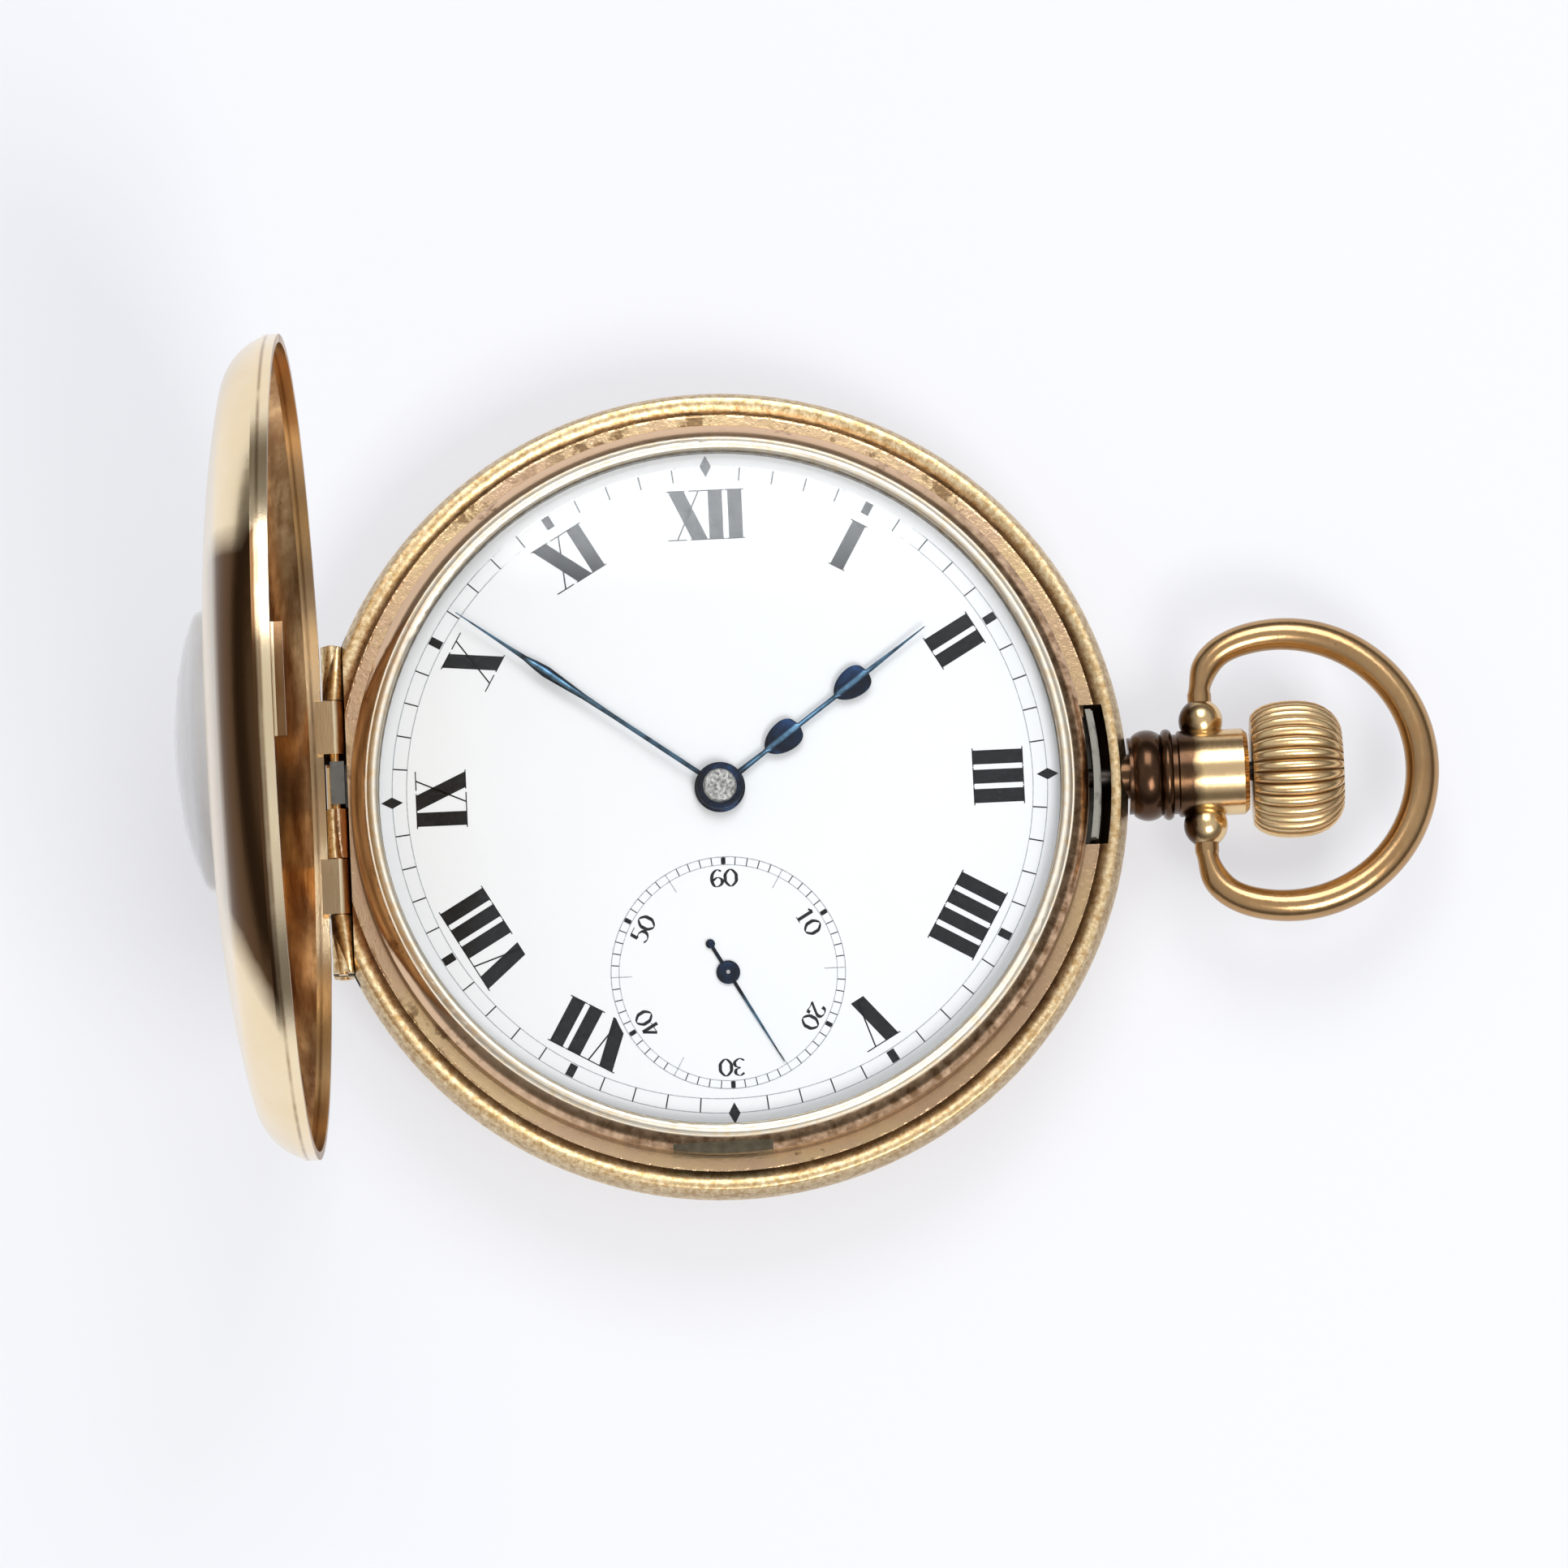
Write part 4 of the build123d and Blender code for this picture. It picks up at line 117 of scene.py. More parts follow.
class Value:
    """A number that varies over a surface; arithmetic on it adds Math nodes to its finish."""

    def __init__(self, finish, socket):
        self.finish = finish
        self.socket = socket

    def _math(self, operation, *inputs, clamp=False):
        settings = {"operation": operation, "use_clamp": clamp}
        return self.finish.node("ShaderNodeMath", settings, *inputs)

    def __add__(self, other):
        return self._math("ADD", self, other)

    __radd__ = __add__

    def __sub__(self, other):
        return self._math("SUBTRACT", self, other)

    def __rsub__(self, other):
        return self._math("SUBTRACT", other, self)

    def __mul__(self, other):
        return self._math("MULTIPLY", self, other)

    __rmul__ = __mul__

    def __truediv__(self, other):
        return self._math("DIVIDE", self, other)

    def __pow__(self, other):
        return self._math("POWER", self, other)

    def __neg__(self):
        return self._math("MULTIPLY", self, -1)

    def __abs__(self):
        return self._math("ABSOLUTE", self)

    def over(self, other):
        """1 where this is more than the other, else 0."""
        return self._math("GREATER_THAN", self, other)

    def under(self, other):
        """1 where this is less than the other, else 0."""
        return self._math("LESS_THAN", self, other)

    def least(self, other):
        """The smaller of the two."""
        return self._math("MINIMUM", self, other)

    def most(self, other):
        """The larger of the two."""
        return self._math("MAXIMUM", self, other)

    def sine(self):
        """The sine of this, in radians."""
        return self._math("SINE", self)

    def turn(self, other):
        """The angle in radians of a point whose height is this and whose width is the other."""
        return self._math("ARCTAN2", self, other)

    def ramp(self, low, high):
        """0 up to low, 1 from high, and straight between."""
        return self._math("DIVIDE", self - low, high - low, clamp=True)


class Nodes:
    """A node tree being built."""

    def __init__(self, tree):
        self.tree = tree

    def feed(self, socket, value):
        """Give a socket a number, a colour or what varies it."""
        if isinstance(value, Value):
            self.tree.links.new(value.socket, socket)
        elif socket.type == "RGBA":
            socket.default_value = (*value[:3], 1)
        else:
            socket.default_value = value

    def node(self, kind, settings=None, *values, output=0, **named):
        """Add a node, set it up, feed its sockets and return one of its outputs."""
        made = self.tree.nodes.new(kind)
        for name, setting in (settings or {}).items():
            if name == "stops":
                while len(made.color_ramp.elements) < len(setting):
                    made.color_ramp.elements.new(0.5)
                for element, (place, colour) in zip(made.color_ramp.elements, setting):
                    element.position = place
                    element.color = (*colour, 1)
            else:
                setattr(made, name, setting)
        for socket, value in zip(made.inputs, values):
            self.feed(socket, value)
        for name, value in named.items():
            self.feed(made.inputs[name], value)
        return Value(self, made.outputs[output])

    def axis(self, vector, number):
        """One coordinate of a vector."""
        return self.node("ShaderNodeSeparateXYZ", {}, vector, output=number)

    def length(self, vector):
        """How long a vector is."""
        return self.node("ShaderNodeVectorMath", {"operation": "LENGTH"}, vector, output="Value")


class Finish(Nodes):
    """A material being built: one shader, and nodes that vary it."""

    def __init__(self, name, **constants):
        self.material = bpy.data.materials.new(name)
        self.material.use_nodes = True
        super().__init__(self.material.node_tree)
        self.tree.nodes.clear()
        self.output = self.tree.nodes.new("ShaderNodeOutputMaterial")
        self.shader = self.tree.nodes.new("ShaderNodeBsdfPrincipled")
        self.tree.links.new(self.shader.outputs[0], self.output.inputs[0])
        for socket, value in constants.items():
            self.set(socket.replace("_", " "), value)

    def set(self, name, value):
        """Give the shader's socket a number, a colour or what varies it."""
        self.feed(self.shader.inputs[name], value)

    def blend(self, share, first, second):
        """Show a mix of two shaders in place of the one."""
        self.feed(self.output.inputs[0], self.node("ShaderNodeMixShader", {}, share, first, second))

    def own_shader(self):
        """What the one shader gives."""
        return Value(self, self.shader.outputs[0])

    def place(self):
        """The point of the surface in metres, which turns with the piece."""
        return self.node("ShaderNodeTexCoord", output="Object")

    def facing(self):
        """The direction that the surface faces, which turns with the piece."""
        return self.node("ShaderNodeTexCoord", output="Normal")

    def millimetres(self, axes):
        """The coordinates of the surface in millimetres along these axes."""
        place = self.place()
        return [self.axis(place, "xyz".index(axis)) * 1000 for axis in axes]

    def from_axis(self):
        """The distance from the watch's axis in millimetres."""
        flat = (1000, 1000, 0)
        settings = {"operation": "MULTIPLY"}
        return self.length(self.node("ShaderNodeVectorMath", settings, self.place(), flat))

    def from_middle(self, y, z, middle_z):
        """The distance from the open lid's middle, across the lid."""
        return self.length(self.node("ShaderNodeCombineXYZ", {}, 0.0, y, z - middle_z))

    def noise(self, scale, detail=3.0, roughness=0.5, vector=None):
        """Cloudy noise, features about 1 / scale metres across."""
        inputs = {"Scale": scale, "Detail": detail, "Roughness": roughness}
        return self.node("ShaderNodeTexNoise", {}, Vector=vector or self.place(), **inputs)

    def mix(self, share, first, second):
        """A colour between two."""
        made = self.tree.nodes.new("ShaderNodeMix")
        made.data_type = "RGBA"
        for number, value in ((0, share), (6, first), (7, second)):
            self.feed(made.inputs[number], value)
        return Value(self, made.outputs[2])

    def grain(self, scales, detail=3.0, roughness=0.6):
        """Noise drawn out along some axes, by its features across a metre of each axis."""
        stretched = self.node("ShaderNodeMapping", Vector=self.place(), Scale=scales)
        return self.noise(1.0, detail, roughness, stretched)

    def finished(self, colour, roughness=None, relief=None, depth=0.0, strength=1.0):
        """The material, given its colour, its roughness and its relief of this depth in metres."""
        self.set("Base Color", colour)
        if roughness:
            self.set("Roughness", roughness)
        if relief:
            inputs = {"Height": relief, "Distance": depth, "Strength": strength}
            self.set("Normal", self.node("ShaderNodeBump", **inputs))
        return self.material


def worn_gold(name, colour, shade, tint):
    """Polished gold rubbed by years of handling: soft scratches, rosy patches and dirt."""
    gold = Finish(name, Metallic=1.0)
    cloud = gold.noise(160, 4, 0.6)
    patches = gold.noise(420, 3, 0.55).ramp(0.5, 0.72)
    rub = gold.grain((5200, 900, 2600), 4, 0.7)
    fine = gold.noise(9000, 3, 0.7)
    speck = gold.noise(2400, 4, 0.75).ramp(0.66, 0.76)
    warm = gold.mix(patches * 0.45, colour, tint)
    worn = gold.mix(cloud.ramp(0.35, 0.75) * 0.45, warm, shade)
    gold.finished(
        gold.mix(speck * 0.5, worn, [part * 0.3 for part in shade]),
        0.13 + cloud * 0.12 + rub.ramp(0.45, 0.8) * 0.1,
        rub * 0.6 + fine * 0.4, 0.000012, 0.6,
    )
    return gold


def clean_colour(gold):
    """What a finish's colour is so far."""
    return Value(gold, gold.shader.inputs["Base Color"].links[0].from_socket)


def near(value, middle, half):
    """1 at the middle, down to 0 this far on each side of it."""
    return (1 - abs(value - middle) / half).most(0)


def shadow_side(gold):
    """1 towards four o'clock, where a dark reflection of the room is painted; -1 opposite."""
    x, y = gold.millimetres("xy")
    return (x * 0.8 - y * 0.6) / gold.from_axis()


def band_gold(name, look):
    """The band: a flat ledge, a dark groove and a rounded rim of fine-grained pale gold."""
    gold = Finish(name, Metallic=1.0)
    x, y, z = gold.millimetres("xyz")
    radius = gold.from_axis()
    cloud = gold.noise(170, 4, 0.6)
    grain = gold.noise(2600, 4, 0.75)
    wear = gold.noise(900, 4, 0.7)
    flat = gold.mix(cloud.ramp(0.4, 0.65), look.gold_rose, look.gold)
    rim = gold.mix(grain.ramp(0.38, 0.66), look.gold_shade, look.gold_pale)
    on_rim = radius.ramp(RIM_FOOT - 0.15, RIM_FOOT + 0.15)
    ground = gold.mix(on_rim, flat, rim)
    blotch = gold.noise(330, 4, 0.7).ramp(0.56, 0.62)
    patch = blotch * (1 - on_rim) * gold.noise(75, 2, 0.5).ramp(0.5, 0.56)
    # Painted reflection: brown towards four o'clock, weaker on the rim, beside random brown patches
    shade = shadow_side(gold).ramp(0.1, 1.0) * (0.4 - on_rim * 0.2)
    browned_and_painted_dark = gold.mix(shade.most(patch * 0.8), ground, look.gold_brown)
    groove = near(radius, BAND_GROOVE, 0.18) * wear.ramp(0.45, 0.65)
    seam = near(radius, BAND_SEAM, 0.12)
    # Painted shade: near black inside the lock spring's slot; the band at the lid's hinge is
    # painted near black too
    slot = x.over(SLOT_FROM) * radius.under(SLOT_TO) * abs(y).under(SLOT_HALF) * z.under(SLOT_TOP)
    hinge = (-x).over(HINGE_FROM) * z.over(HINGE_FOOT) * z.under(HINGE_TOP)
    dirt = (groove * 0.6).most(seam * 0.7).most(slot).most(hinge).least(1)
    arch = near(radius, RIM_CREST, RIM_HALF)
    relief = (1 - (1 - arch) ** 2) - groove * 0.12
    return gold.finished(
        gold.mix(dirt, browned_and_painted_dark, look.dirt),
        (0.16 + cloud * 0.1 + on_rim * 0.14 + dirt * 0.4).least(1),
        relief + (grain - 0.5) * 0.05, 0.00042,
    )


def bezel_gold(name, look):
    """The bezel: an inner lip painted pale and a slope painted dark on one side, as reflections."""
    gold = Finish(name, Metallic=1.0)
    x, y = gold.millimetres("xy")
    radius = gold.from_axis()
    cloud = gold.noise(200, 4, 0.6)
    streak = gold.grain((1400, 1400, 200))
    speck = gold.noise(1900, 4, 0.7)
    slope = radius.ramp(BEZEL_SLOPE, BEZEL_SLOPE + 0.12)
    # Painted reflection: the slope turns brown towards four o'clock, beside random brown patches
    dark = shadow_side(gold) + (cloud - 0.5) * 0.7
    # Painted reflection: the lip is painted pale for the white that it reflects
    lip = gold.mix(streak.ramp(0.45, 0.7) * 0.6, look.lip, look.gold)
    brown = gold.mix(streak.ramp(0.35, 0.7), look.gold_brown, look.gold_rose)
    patch = gold.noise(300, 4, 0.7).ramp(0.58, 0.63)
    browned_and_painted_dark = (dark.ramp(-0.2, 0.42) * 0.94).most(patch * 0.7)
    tone = gold.mix(slope, lip, gold.mix(browned_and_painted_dark, look.gold_rose, brown))
    notch = (-y).over(NOTCH_FROM) * x.over(NOTCH_LEFT) * x.under(NOTCH_RIGHT)
    seam = near(radius, BEZEL_SEAM, 0.1) * speck.ramp(0.4, 0.65)
    dirt = (seam * 0.6).most(notch * 0.85).most(near(radius, LIP_EDGE, 0.07)).least(1)
    return gold.finished(
        gold.mix(dirt, tone, gold.mix(notch, look.dirt, look.tarnish)),
        0.12 + cloud * 0.12 + dirt * 0.4 + (1 - slope) * 0.22,
        streak * 0.5 + speck * 0.5, 0.000015, 0.6,
    )


def pendant_gold(name, look):
    """The pendant: gold tube and balls, and a collar darkened nearly black."""
    gold = worn_gold(name, look.gold, look.gold_shade, look.gold_rose)
    x, y = gold.millimetres("xy")
    cloud = gold.noise(500, 4, 0.6)
    collar = (COLLAR_END + (cloud - 0.5) * 0.9 - x).ramp(0.0, 0.7)
    joint = near(abs(y), TUBE_HALF, 0.4) * near(x, COLLAR_END, 1.7) * cloud.ramp(0.3, 0.6)
    brown = gold.mix(cloud.ramp(0.45, 0.75) * 0.5, look.collar, look.gold_brown)
    toned = gold.mix(collar * 0.96, clean_colour(gold), brown)
    return gold.finished(gold.mix(joint * 0.8, toned, look.dirt))


def crown_gold(name, look):
    """The crown: warmer gold, with shade painted down in the grooves between its ribs."""
    gold = worn_gold(name, look.gold, look.gold_warm, look.gold_warm)
    y, z = gold.millimetres("yz")
    turn = (z - CROWN_CENTRE.z / MM).turn(y - CROWN_CENTRE.y / MM)
    groove = 1 - abs((turn * (CROWN_RIBS / 2)).sine())
    speck = gold.noise(1500, 3, 0.6)
    # Painted shade: darker down in the grooves between the ribs
    dirt = (groove ** 2.2 * (0.75 + speck * 0.5)).least(1)
    toned = gold.mix(dirt * 0.9, clean_colour(gold), look.crown_groove)
    return gold.finished(toned, 0.2 + dirt * 0.3 + speck * 0.08)


def lid_gold(name, look):
    """The front cover: bright outside, a dark reflection painted on its dome, darker mottled gold
    inside.
    """
    gold = worn_gold(name, look.lid_pale, look.gold, look.gold_pale)
    x, y, z = gold.millimetres("xyz")
    stain = gold.noise(260, 4, 0.6)
    streak = gold.grain((900, 120, 300), 4, 0.65)
    height = -(x + LID_HINGE_X) - (z - LID_HINGE_Z) * math.tan(LID_TILT)
    inside = gold.axis(gold.facing(), 0).ramp(0.1, 0.45)
    outside = 1 - inside
    brown = gold.mix(streak.ramp(0.36, 0.6), look.lid_stain, look.lid_inside)
    toned = gold.mix(inside * 0.95, clean_colour(gold), brown)
    edge = (stain - 0.5) * 1.2
    share = (height - DOME_FOOT) / 3.2
    first = PATCH_RIGHT + share * 6.5
    last = PATCH_LEFT - (share * 3).least(1).most(0) * 2.2
    across = (y - first + edge).ramp(0.0, 2.4) * (last - y + edge).ramp(0.0, 2.0)
    risen = (height + edge * 0.15).ramp(DOME_FOOT, DOME_FOOT + 0.35)
    below_crest = (DOME_CREST - height).ramp(0.0, 1.1)
    # Painted reflection: a dark brown patch on the outside of the dome
    patch = across * risen * below_crest * z.ramp(PATCH_FADE, PATCH_FULL) * outside
    domed = gold.mix(patch * 0.97, toned, look.lid_dark)
    line = near(height, DOME_FOOT + 0.1, 0.16) * outside * stain.ramp(0.2, 0.5)
    # Painted shade: the inside is darkened next to its rim wall
    wall = gold.from_middle(y, z, LID_MIDDLE_Z).ramp(WALL_FOOT, WALL_EDGE)
    shaded = wall * inside * stain.ramp(0.25, 0.6)
    browned_and_painted_dark = gold.mix(shaded * 0.8, domed, look.lid_stain)
    catch = z.over(CATCH_FROM) * height.under(0.5) * (0.75 + streak * 0.4)
    toned = gold.mix((line * 0.7).most(catch).least(1), browned_and_painted_dark, look.lid_stain)
    return gold.finished(toned, 0.12 + inside * 0.14 + stain * 0.08)


def enamel(name, look):
    """Fired white enamel: glassy, and very slightly uneven, with a few stray flecks."""
    white = Finish(name, Roughness=0.2, Coat_Weight=0.25, Coat_Roughness=0.05, IOR=1.45)
    cloud = white.noise(90, 2, 0.4)
    speck = white.noise(2600, 2, 0.5).ramp(0.79, 0.82)
    tone = white.mix(cloud.ramp(0.3, 0.7) * 0.25, look.enamel, look.enamel_shade)
    toned = white.mix(speck * 0.35, tone, look.enamel_fleck)
    return white.finished(toned, None, cloud, 0.00002, 0.5)


def printed_ink(name, colour, worn, share=0.5):
    """Ceramic print, a little worn where the brush ran thin, and a painted glare towards twelve."""
    ink = Finish(name, IOR=1.3, Specular_IOR_Level=0.2)
    grain = ink.noise(6500, 3, 0.6)
    x, y = ink.millimetres("xy")
    # Painted glare: the print is paler towards twelve, where the crystal's glare lies over it
    thin = (y - abs(x + 1) * 0.35).ramp(GLARE_FROM, GLARE_FULL) * grain.ramp(0.3, 0.62)
    tone = ink.mix(grain.ramp(0.45, 0.8) * share, colour, worn)
    paled_by_glare = ink.mix(thin.least(1), tone, [part * 2.4 for part in worn])
    return ink.finished(paled_by_glare, 0.4 + grain * 0.2)


def blued_steel(name, look, pose=None):
    """Steel blued by heat: near black, with a blue glint along the ridge of its blade."""
    steel = Finish(name, Metallic=1.0)
    drift = steel.noise(900, 3, 0.6)
    grain = steel.grain((9000, 9000, 900))
    tone = steel.mix(drift.ramp(0.4, 0.7) * 0.5, look.blue_dark, look.blue_light)
    if pose:
        (centre_x, centre_y), angle = pose
        x, y = steel.millimetres("xy")
        across, ahead = math.cos(math.radians(angle)), math.sin(math.radians(angle))
        beside = abs((y - centre_y) * across - (x - centre_x) * ahead)
        along = (x - centre_x) * across + (y - centre_y) * ahead
        ridge = (0.2 - beside).ramp(0.0, 0.14) * along.ramp(1.5, 2.2) * drift.ramp(0.3, 0.6)
        tone = steel.mix(ridge * 0.85, tone, look.blue_glint)
    return steel.finished(tone, 0.24 + grain * 0.15, grain, 0.000006, 0.5)


def pitted_steel(name, look):
    """The filed top of the cannon pinion: grey, pitted, with bright specks."""
    steel = Finish(name, Metallic=1.0)
    pits = steel.noise(4200, 4, 0.75)
    toned = steel.mix(pits.ramp(0.38, 0.64), look.steel_pit, look.steel_fleck)
    return steel.finished(toned, 0.3 + pits * 0.3, pits, 0.00004)


def turned_steel(name, colour, low=0.2, scale=5000):
    """Steel from the lathe and the file, with fine marks and small stains."""
    steel = Finish(name, Metallic=1.0)
    marks = steel.grain((scale, scale / 6, scale), 3, 0.65)
    stain = steel.noise(900, 4, 0.6).ramp(0.5, 0.8)
    toned = steel.mix(stain * 0.7, colour, [part * 0.35 for part in colour])
    return steel.finished(toned, low + marks * 0.2 + stain * 0.25, marks, 0.000008, 0.6)


def striped_plate(name, look):
    """Nickel plates and bridges with broad polished stripes across them."""
    nickel = Finish(name, Metallic=1.0)
    x, y = nickel.millimetres("xy")
    stripes = ((x + y * 0.6) * 3.1).sine() * 0.5 + 0.5
    marks = nickel.grain((900, 7000, 900), 2)
    return nickel.finished(
        nickel.mix(stripes * 0.5, look.nickel, look.nickel_dull),
        0.22 + stripes * 0.14 + marks * 0.1,
        stripes + marks * 0.3, 0.00001, 0.5,
    )


def matt_brass(name, look):
    """Grained brass of the wheels and the barrel."""
    brass = Finish(name, Metallic=1.0)
    grain = brass.grain((6000, 700, 6000))
    tarnish = brass.noise(500, 3, 0.6).ramp(0.45, 0.8)
    toned = brass.mix(tarnish * 0.5, look.brass, look.brass_dull)
    return brass.finished(toned, 0.25 + grain * 0.2, grain, 0.000008, 0.5)


def ruby(name, look):
    """Ruby of the jewels and pallet stones."""
    stone = Finish(name, Roughness=0.06, IOR=1.76, Coat_Weight=0.5)
    return stone.finished(stone.mix(stone.noise(1200, 2, 0.5), look.ruby, look.ruby_deep))


def clear_glass(name, veil, tint, glare=None, edge=None):
    """Clear glass, seen by what it reflects, by a veil of rubbing and by a glare or a painted pale
    edge.
    """
    glass = Finish(name, Roughness=0.1, Metallic=1.0 if glare else 0.0, IOR=1.5, Base_Color=tint)
    clear = glass.node("ShaderNodeBsdfTransparent")
    gloss = glass.node("ShaderNodeFresnel", {}, IOR=1.45)
    rub = glass.noise(700, 4, 0.6)
    share = gloss * (0.3 if glare else 0.9) + veil * (rub * 0.3 + 0.7)
    if glare:
        x, y = glass.millimetres("xy")
        middle_x, middle_y, reach_x, reach_y, most = glare
        far = ((x - middle_x) / reach_x) ** 2 + ((y - middle_y) / reach_y) ** 2
        share = share + (1 - far).most(0) * most
    # Painted sheen: the glass is made more mirror-like towards its edge
    if edge:
        y, z = glass.millimetres("yz")
        middle_z, start, end, most = edge
        share = share + glass.from_middle(y, z, middle_z).ramp(start, end) * most
    glass.blend(share.least(0.92), clear, glass.own_shader())
    return glass.material


def dress(names, material):
    """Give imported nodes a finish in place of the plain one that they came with."""
    for name in names:
        mesh = node_objects[name].data
        mesh.materials.clear()
        mesh.materials.append(material)


def link_piece(name, made, material):
    """An object of this material from a bmesh, which it uses up."""
    bmesh.ops.recalc_face_normals(made, faces=list(made.faces))
    mesh = bpy.data.meshes.new(name)
    made.to_mesh(mesh)
    made.free()
    mesh.materials.append(material)
    piece = bpy.data.objects.new(name, mesh)
    bpy.context.scene.collection.objects.link(piece)
    return piece


def printed_piece(name, ink, thick, material):
    """Print on the dial: its flat outlines, raised by its thickness."""
    made = bmesh.new()
    for points in ink.sheets:
        made.faces.new([made.verts.new((x * MM, y * MM, DIAL_TOP)) for x, y in points])
    made.normal_update()
    for face in made.faces:
        if face.normal.z < 0:
            face.normal_flip()
    raised = bmesh.ops.extrude_face_region(made, geom=list(made.faces))
    tops = [part for part in raised["geom"] if isinstance(part, bmesh.types.BMVert)]
    bmesh.ops.translate(made, vec=(0, 0, thick), verts=tops)
    piece = link_piece(name, made, material)
    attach(piece, "case")


def rounded_piece(name, made, material, body, node):
    """A smooth-shaded piece from a bmesh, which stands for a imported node."""
    piece = link_piece(name, made, material)
    piece.data.polygons.foreach_set("use_smooth", [True] * len(piece.data.polygons))
    piece.select_set(True)
    bpy.context.view_layer.objects.active = piece
    bpy.ops.object.shade_smooth_by_angle(angle=math.radians(40))
    piece.select_set(False)
    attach(piece, body)
    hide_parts(node)


def skin(made, rows, closed=True, ring=True):
    """Faces between neighbouring rows of corners, back to the first row where the rows close."""
    for first, second in zip(rows, rows[1:] + rows[:1] if closed else rows[1:]):
        for number in range(len(first) if ring else len(first) - 1):
            after = (number + 1) % len(first)
            made.faces.new((first[number], first[after], second[after], second[number]))


def turned_point(x, y, angle, centre=(0, 0)):
    """A point turned round a centre by an angle in degrees, counter-clockwise."""
    s, c = math.sin(math.radians(angle)), math.cos(math.radians(angle))
    return (centre[0] + x * c - y * s, centre[1] + x * s + y * c)


class Print:
    """Flat shapes of dial print, as outlines in millimetres; a hollow circle stays clear."""

    def __init__(self, hollow=None):
        self.hollow = hollow
        self.sheets = []

    def outline(self, points):
        """One closed outline."""
        if self.hollow:
            points = bitten(points, *self.hollow)
        if len(points) > 2:
            self.sheets.append(points)

    def bar(self, start, end, wide):
        """A straight stroke between two points."""
        start, end = Vector(start), Vector(end)
        side = (end - start).orthogonal().normalized() * wide / 2
        corners = (start + side, end + side, end - side, start - side)
        self.outline([tuple(corner) for corner in corners])

    def ring(self, radius, wide, centre=(0, 0), steps=180):
        """A thin circle."""
        for number in range(steps):
            first, second = (360 / steps * (number + extra) for extra in (0, 1))
            edges = ((-wide, first), (wide, first), (wide, second), (-wide, second))
            self.sheets.append([
                turned_point(radius + side / 2, 0, angle, centre) for side, angle in edges
            ])

    def pen(self, path, place):
        """A written stroke along a smooth path, thick where it runs down and thin across."""
        points = [Vector(point) for point in smooth(path)]
        edges = []
        for number, point in enumerate(points):
            before, after = points[max(number - 1, 0)], points[min(number + 1, len(points) - 1)]
            way = (after - before).normalized()
            wide = PEN_THIN + (PEN_THICK - PEN_THIN) * abs(way.y) ** 1.5
            side = Vector((-way.y, way.x)) * wide / 2
            edges.append((place(*(point + side)), place(*(point - side))))
        for (a, b), (c, d) in zip(edges, edges[1:]):
            self.sheets.append([a, c, d, b])


def smooth(path, steps=6):
    """Points along a smooth curve through all points of a path, closed where its ends meet."""
    if len(path) < 3:
        return path
    closed = path[0] == path[-1]
    before, after = (path[-2], path[1]) if closed else (path[0], path[-1])
    ends = [before, *path, after]
    points = []
    for a, b, c, d in zip(ends, ends[1:], ends[2:], ends[3:]):
        for step in range(steps):
            t = step / steps
            points.append(tuple(
                0.5 * (2 * q + (r - p) * t + (2 * p - 5 * q + 4 * r - s) * t * t
                       + (3 * q - p - 3 * r + s) * t ** 3)
                for p, q, r, s in zip(a, b, c, d)
            ))
    points.append(path[-1])
    return points


def bitten(points, centre, radius, steps=10):
    """An outline with what lies inside a circle pushed out to its edge."""
    kept = []
    outside = False
    for start, end in zip(points, points[1:] + points[:1]):
        for step in range(steps):
            point = Vector(start).lerp(Vector(end), step / steps)
            away = point - Vector(centre)
            if away.length < radius:
                point = Vector(centre) + away.normalized() * radius
            else:
                outside = True
            kept.append(tuple(point))
    return kept if outside else []


# Each numeral is its strokes from left to right: I a thick bar, V and X a thick and a thin one
NUMERALS = {
    12: "XII", 1: "I", 2: "II", 3: "III", 4: "IIII", 5: "V", 7: "VII", 8: "VIII", 9: "IX", 10: "X",
    11: "XI",
}
STROKE_WIDTHS = {"I": 1.22, "V": 2.05, "X": 2.25}
BAR_SERIF_HALF, SLANT_SERIF_HALF, SLANT_INSET = 0.58, 0.6, 0.42
HOUR_BLOCK_WIDTH, TEN_BLOCK_WIDTH, FIVE_TICK_REACH = 0.52, 0.28, 0.8
DIAMOND_HALF_LENGTH, DIAMOND_HALF_WIDTH = 0.68, 0.36
SECONDS_RING_WIDTH, SECONDS_LINE, INNER_LINE = 0.5, 0.06, 0.05

# How far the hours stay clear of the seconds ring, and how thick circles are beside other print
SECONDS_MARGIN, CIRCLE_SHARE = 0.25, 0.8

# The seconds numbers: how far their feet lie inside the ring, the pen that draws them, and in
# shares of their height the step to the second digit, the middle of a pair and how wide it is drawn
DIGIT_DROP, PEN_THICK, PEN_THIN = 1.86, 0.17, 0.045
DIGIT_STEP, DIGIT_MIDDLE, DIGIT_WIDTH = 0.7, 0.66, 1.16

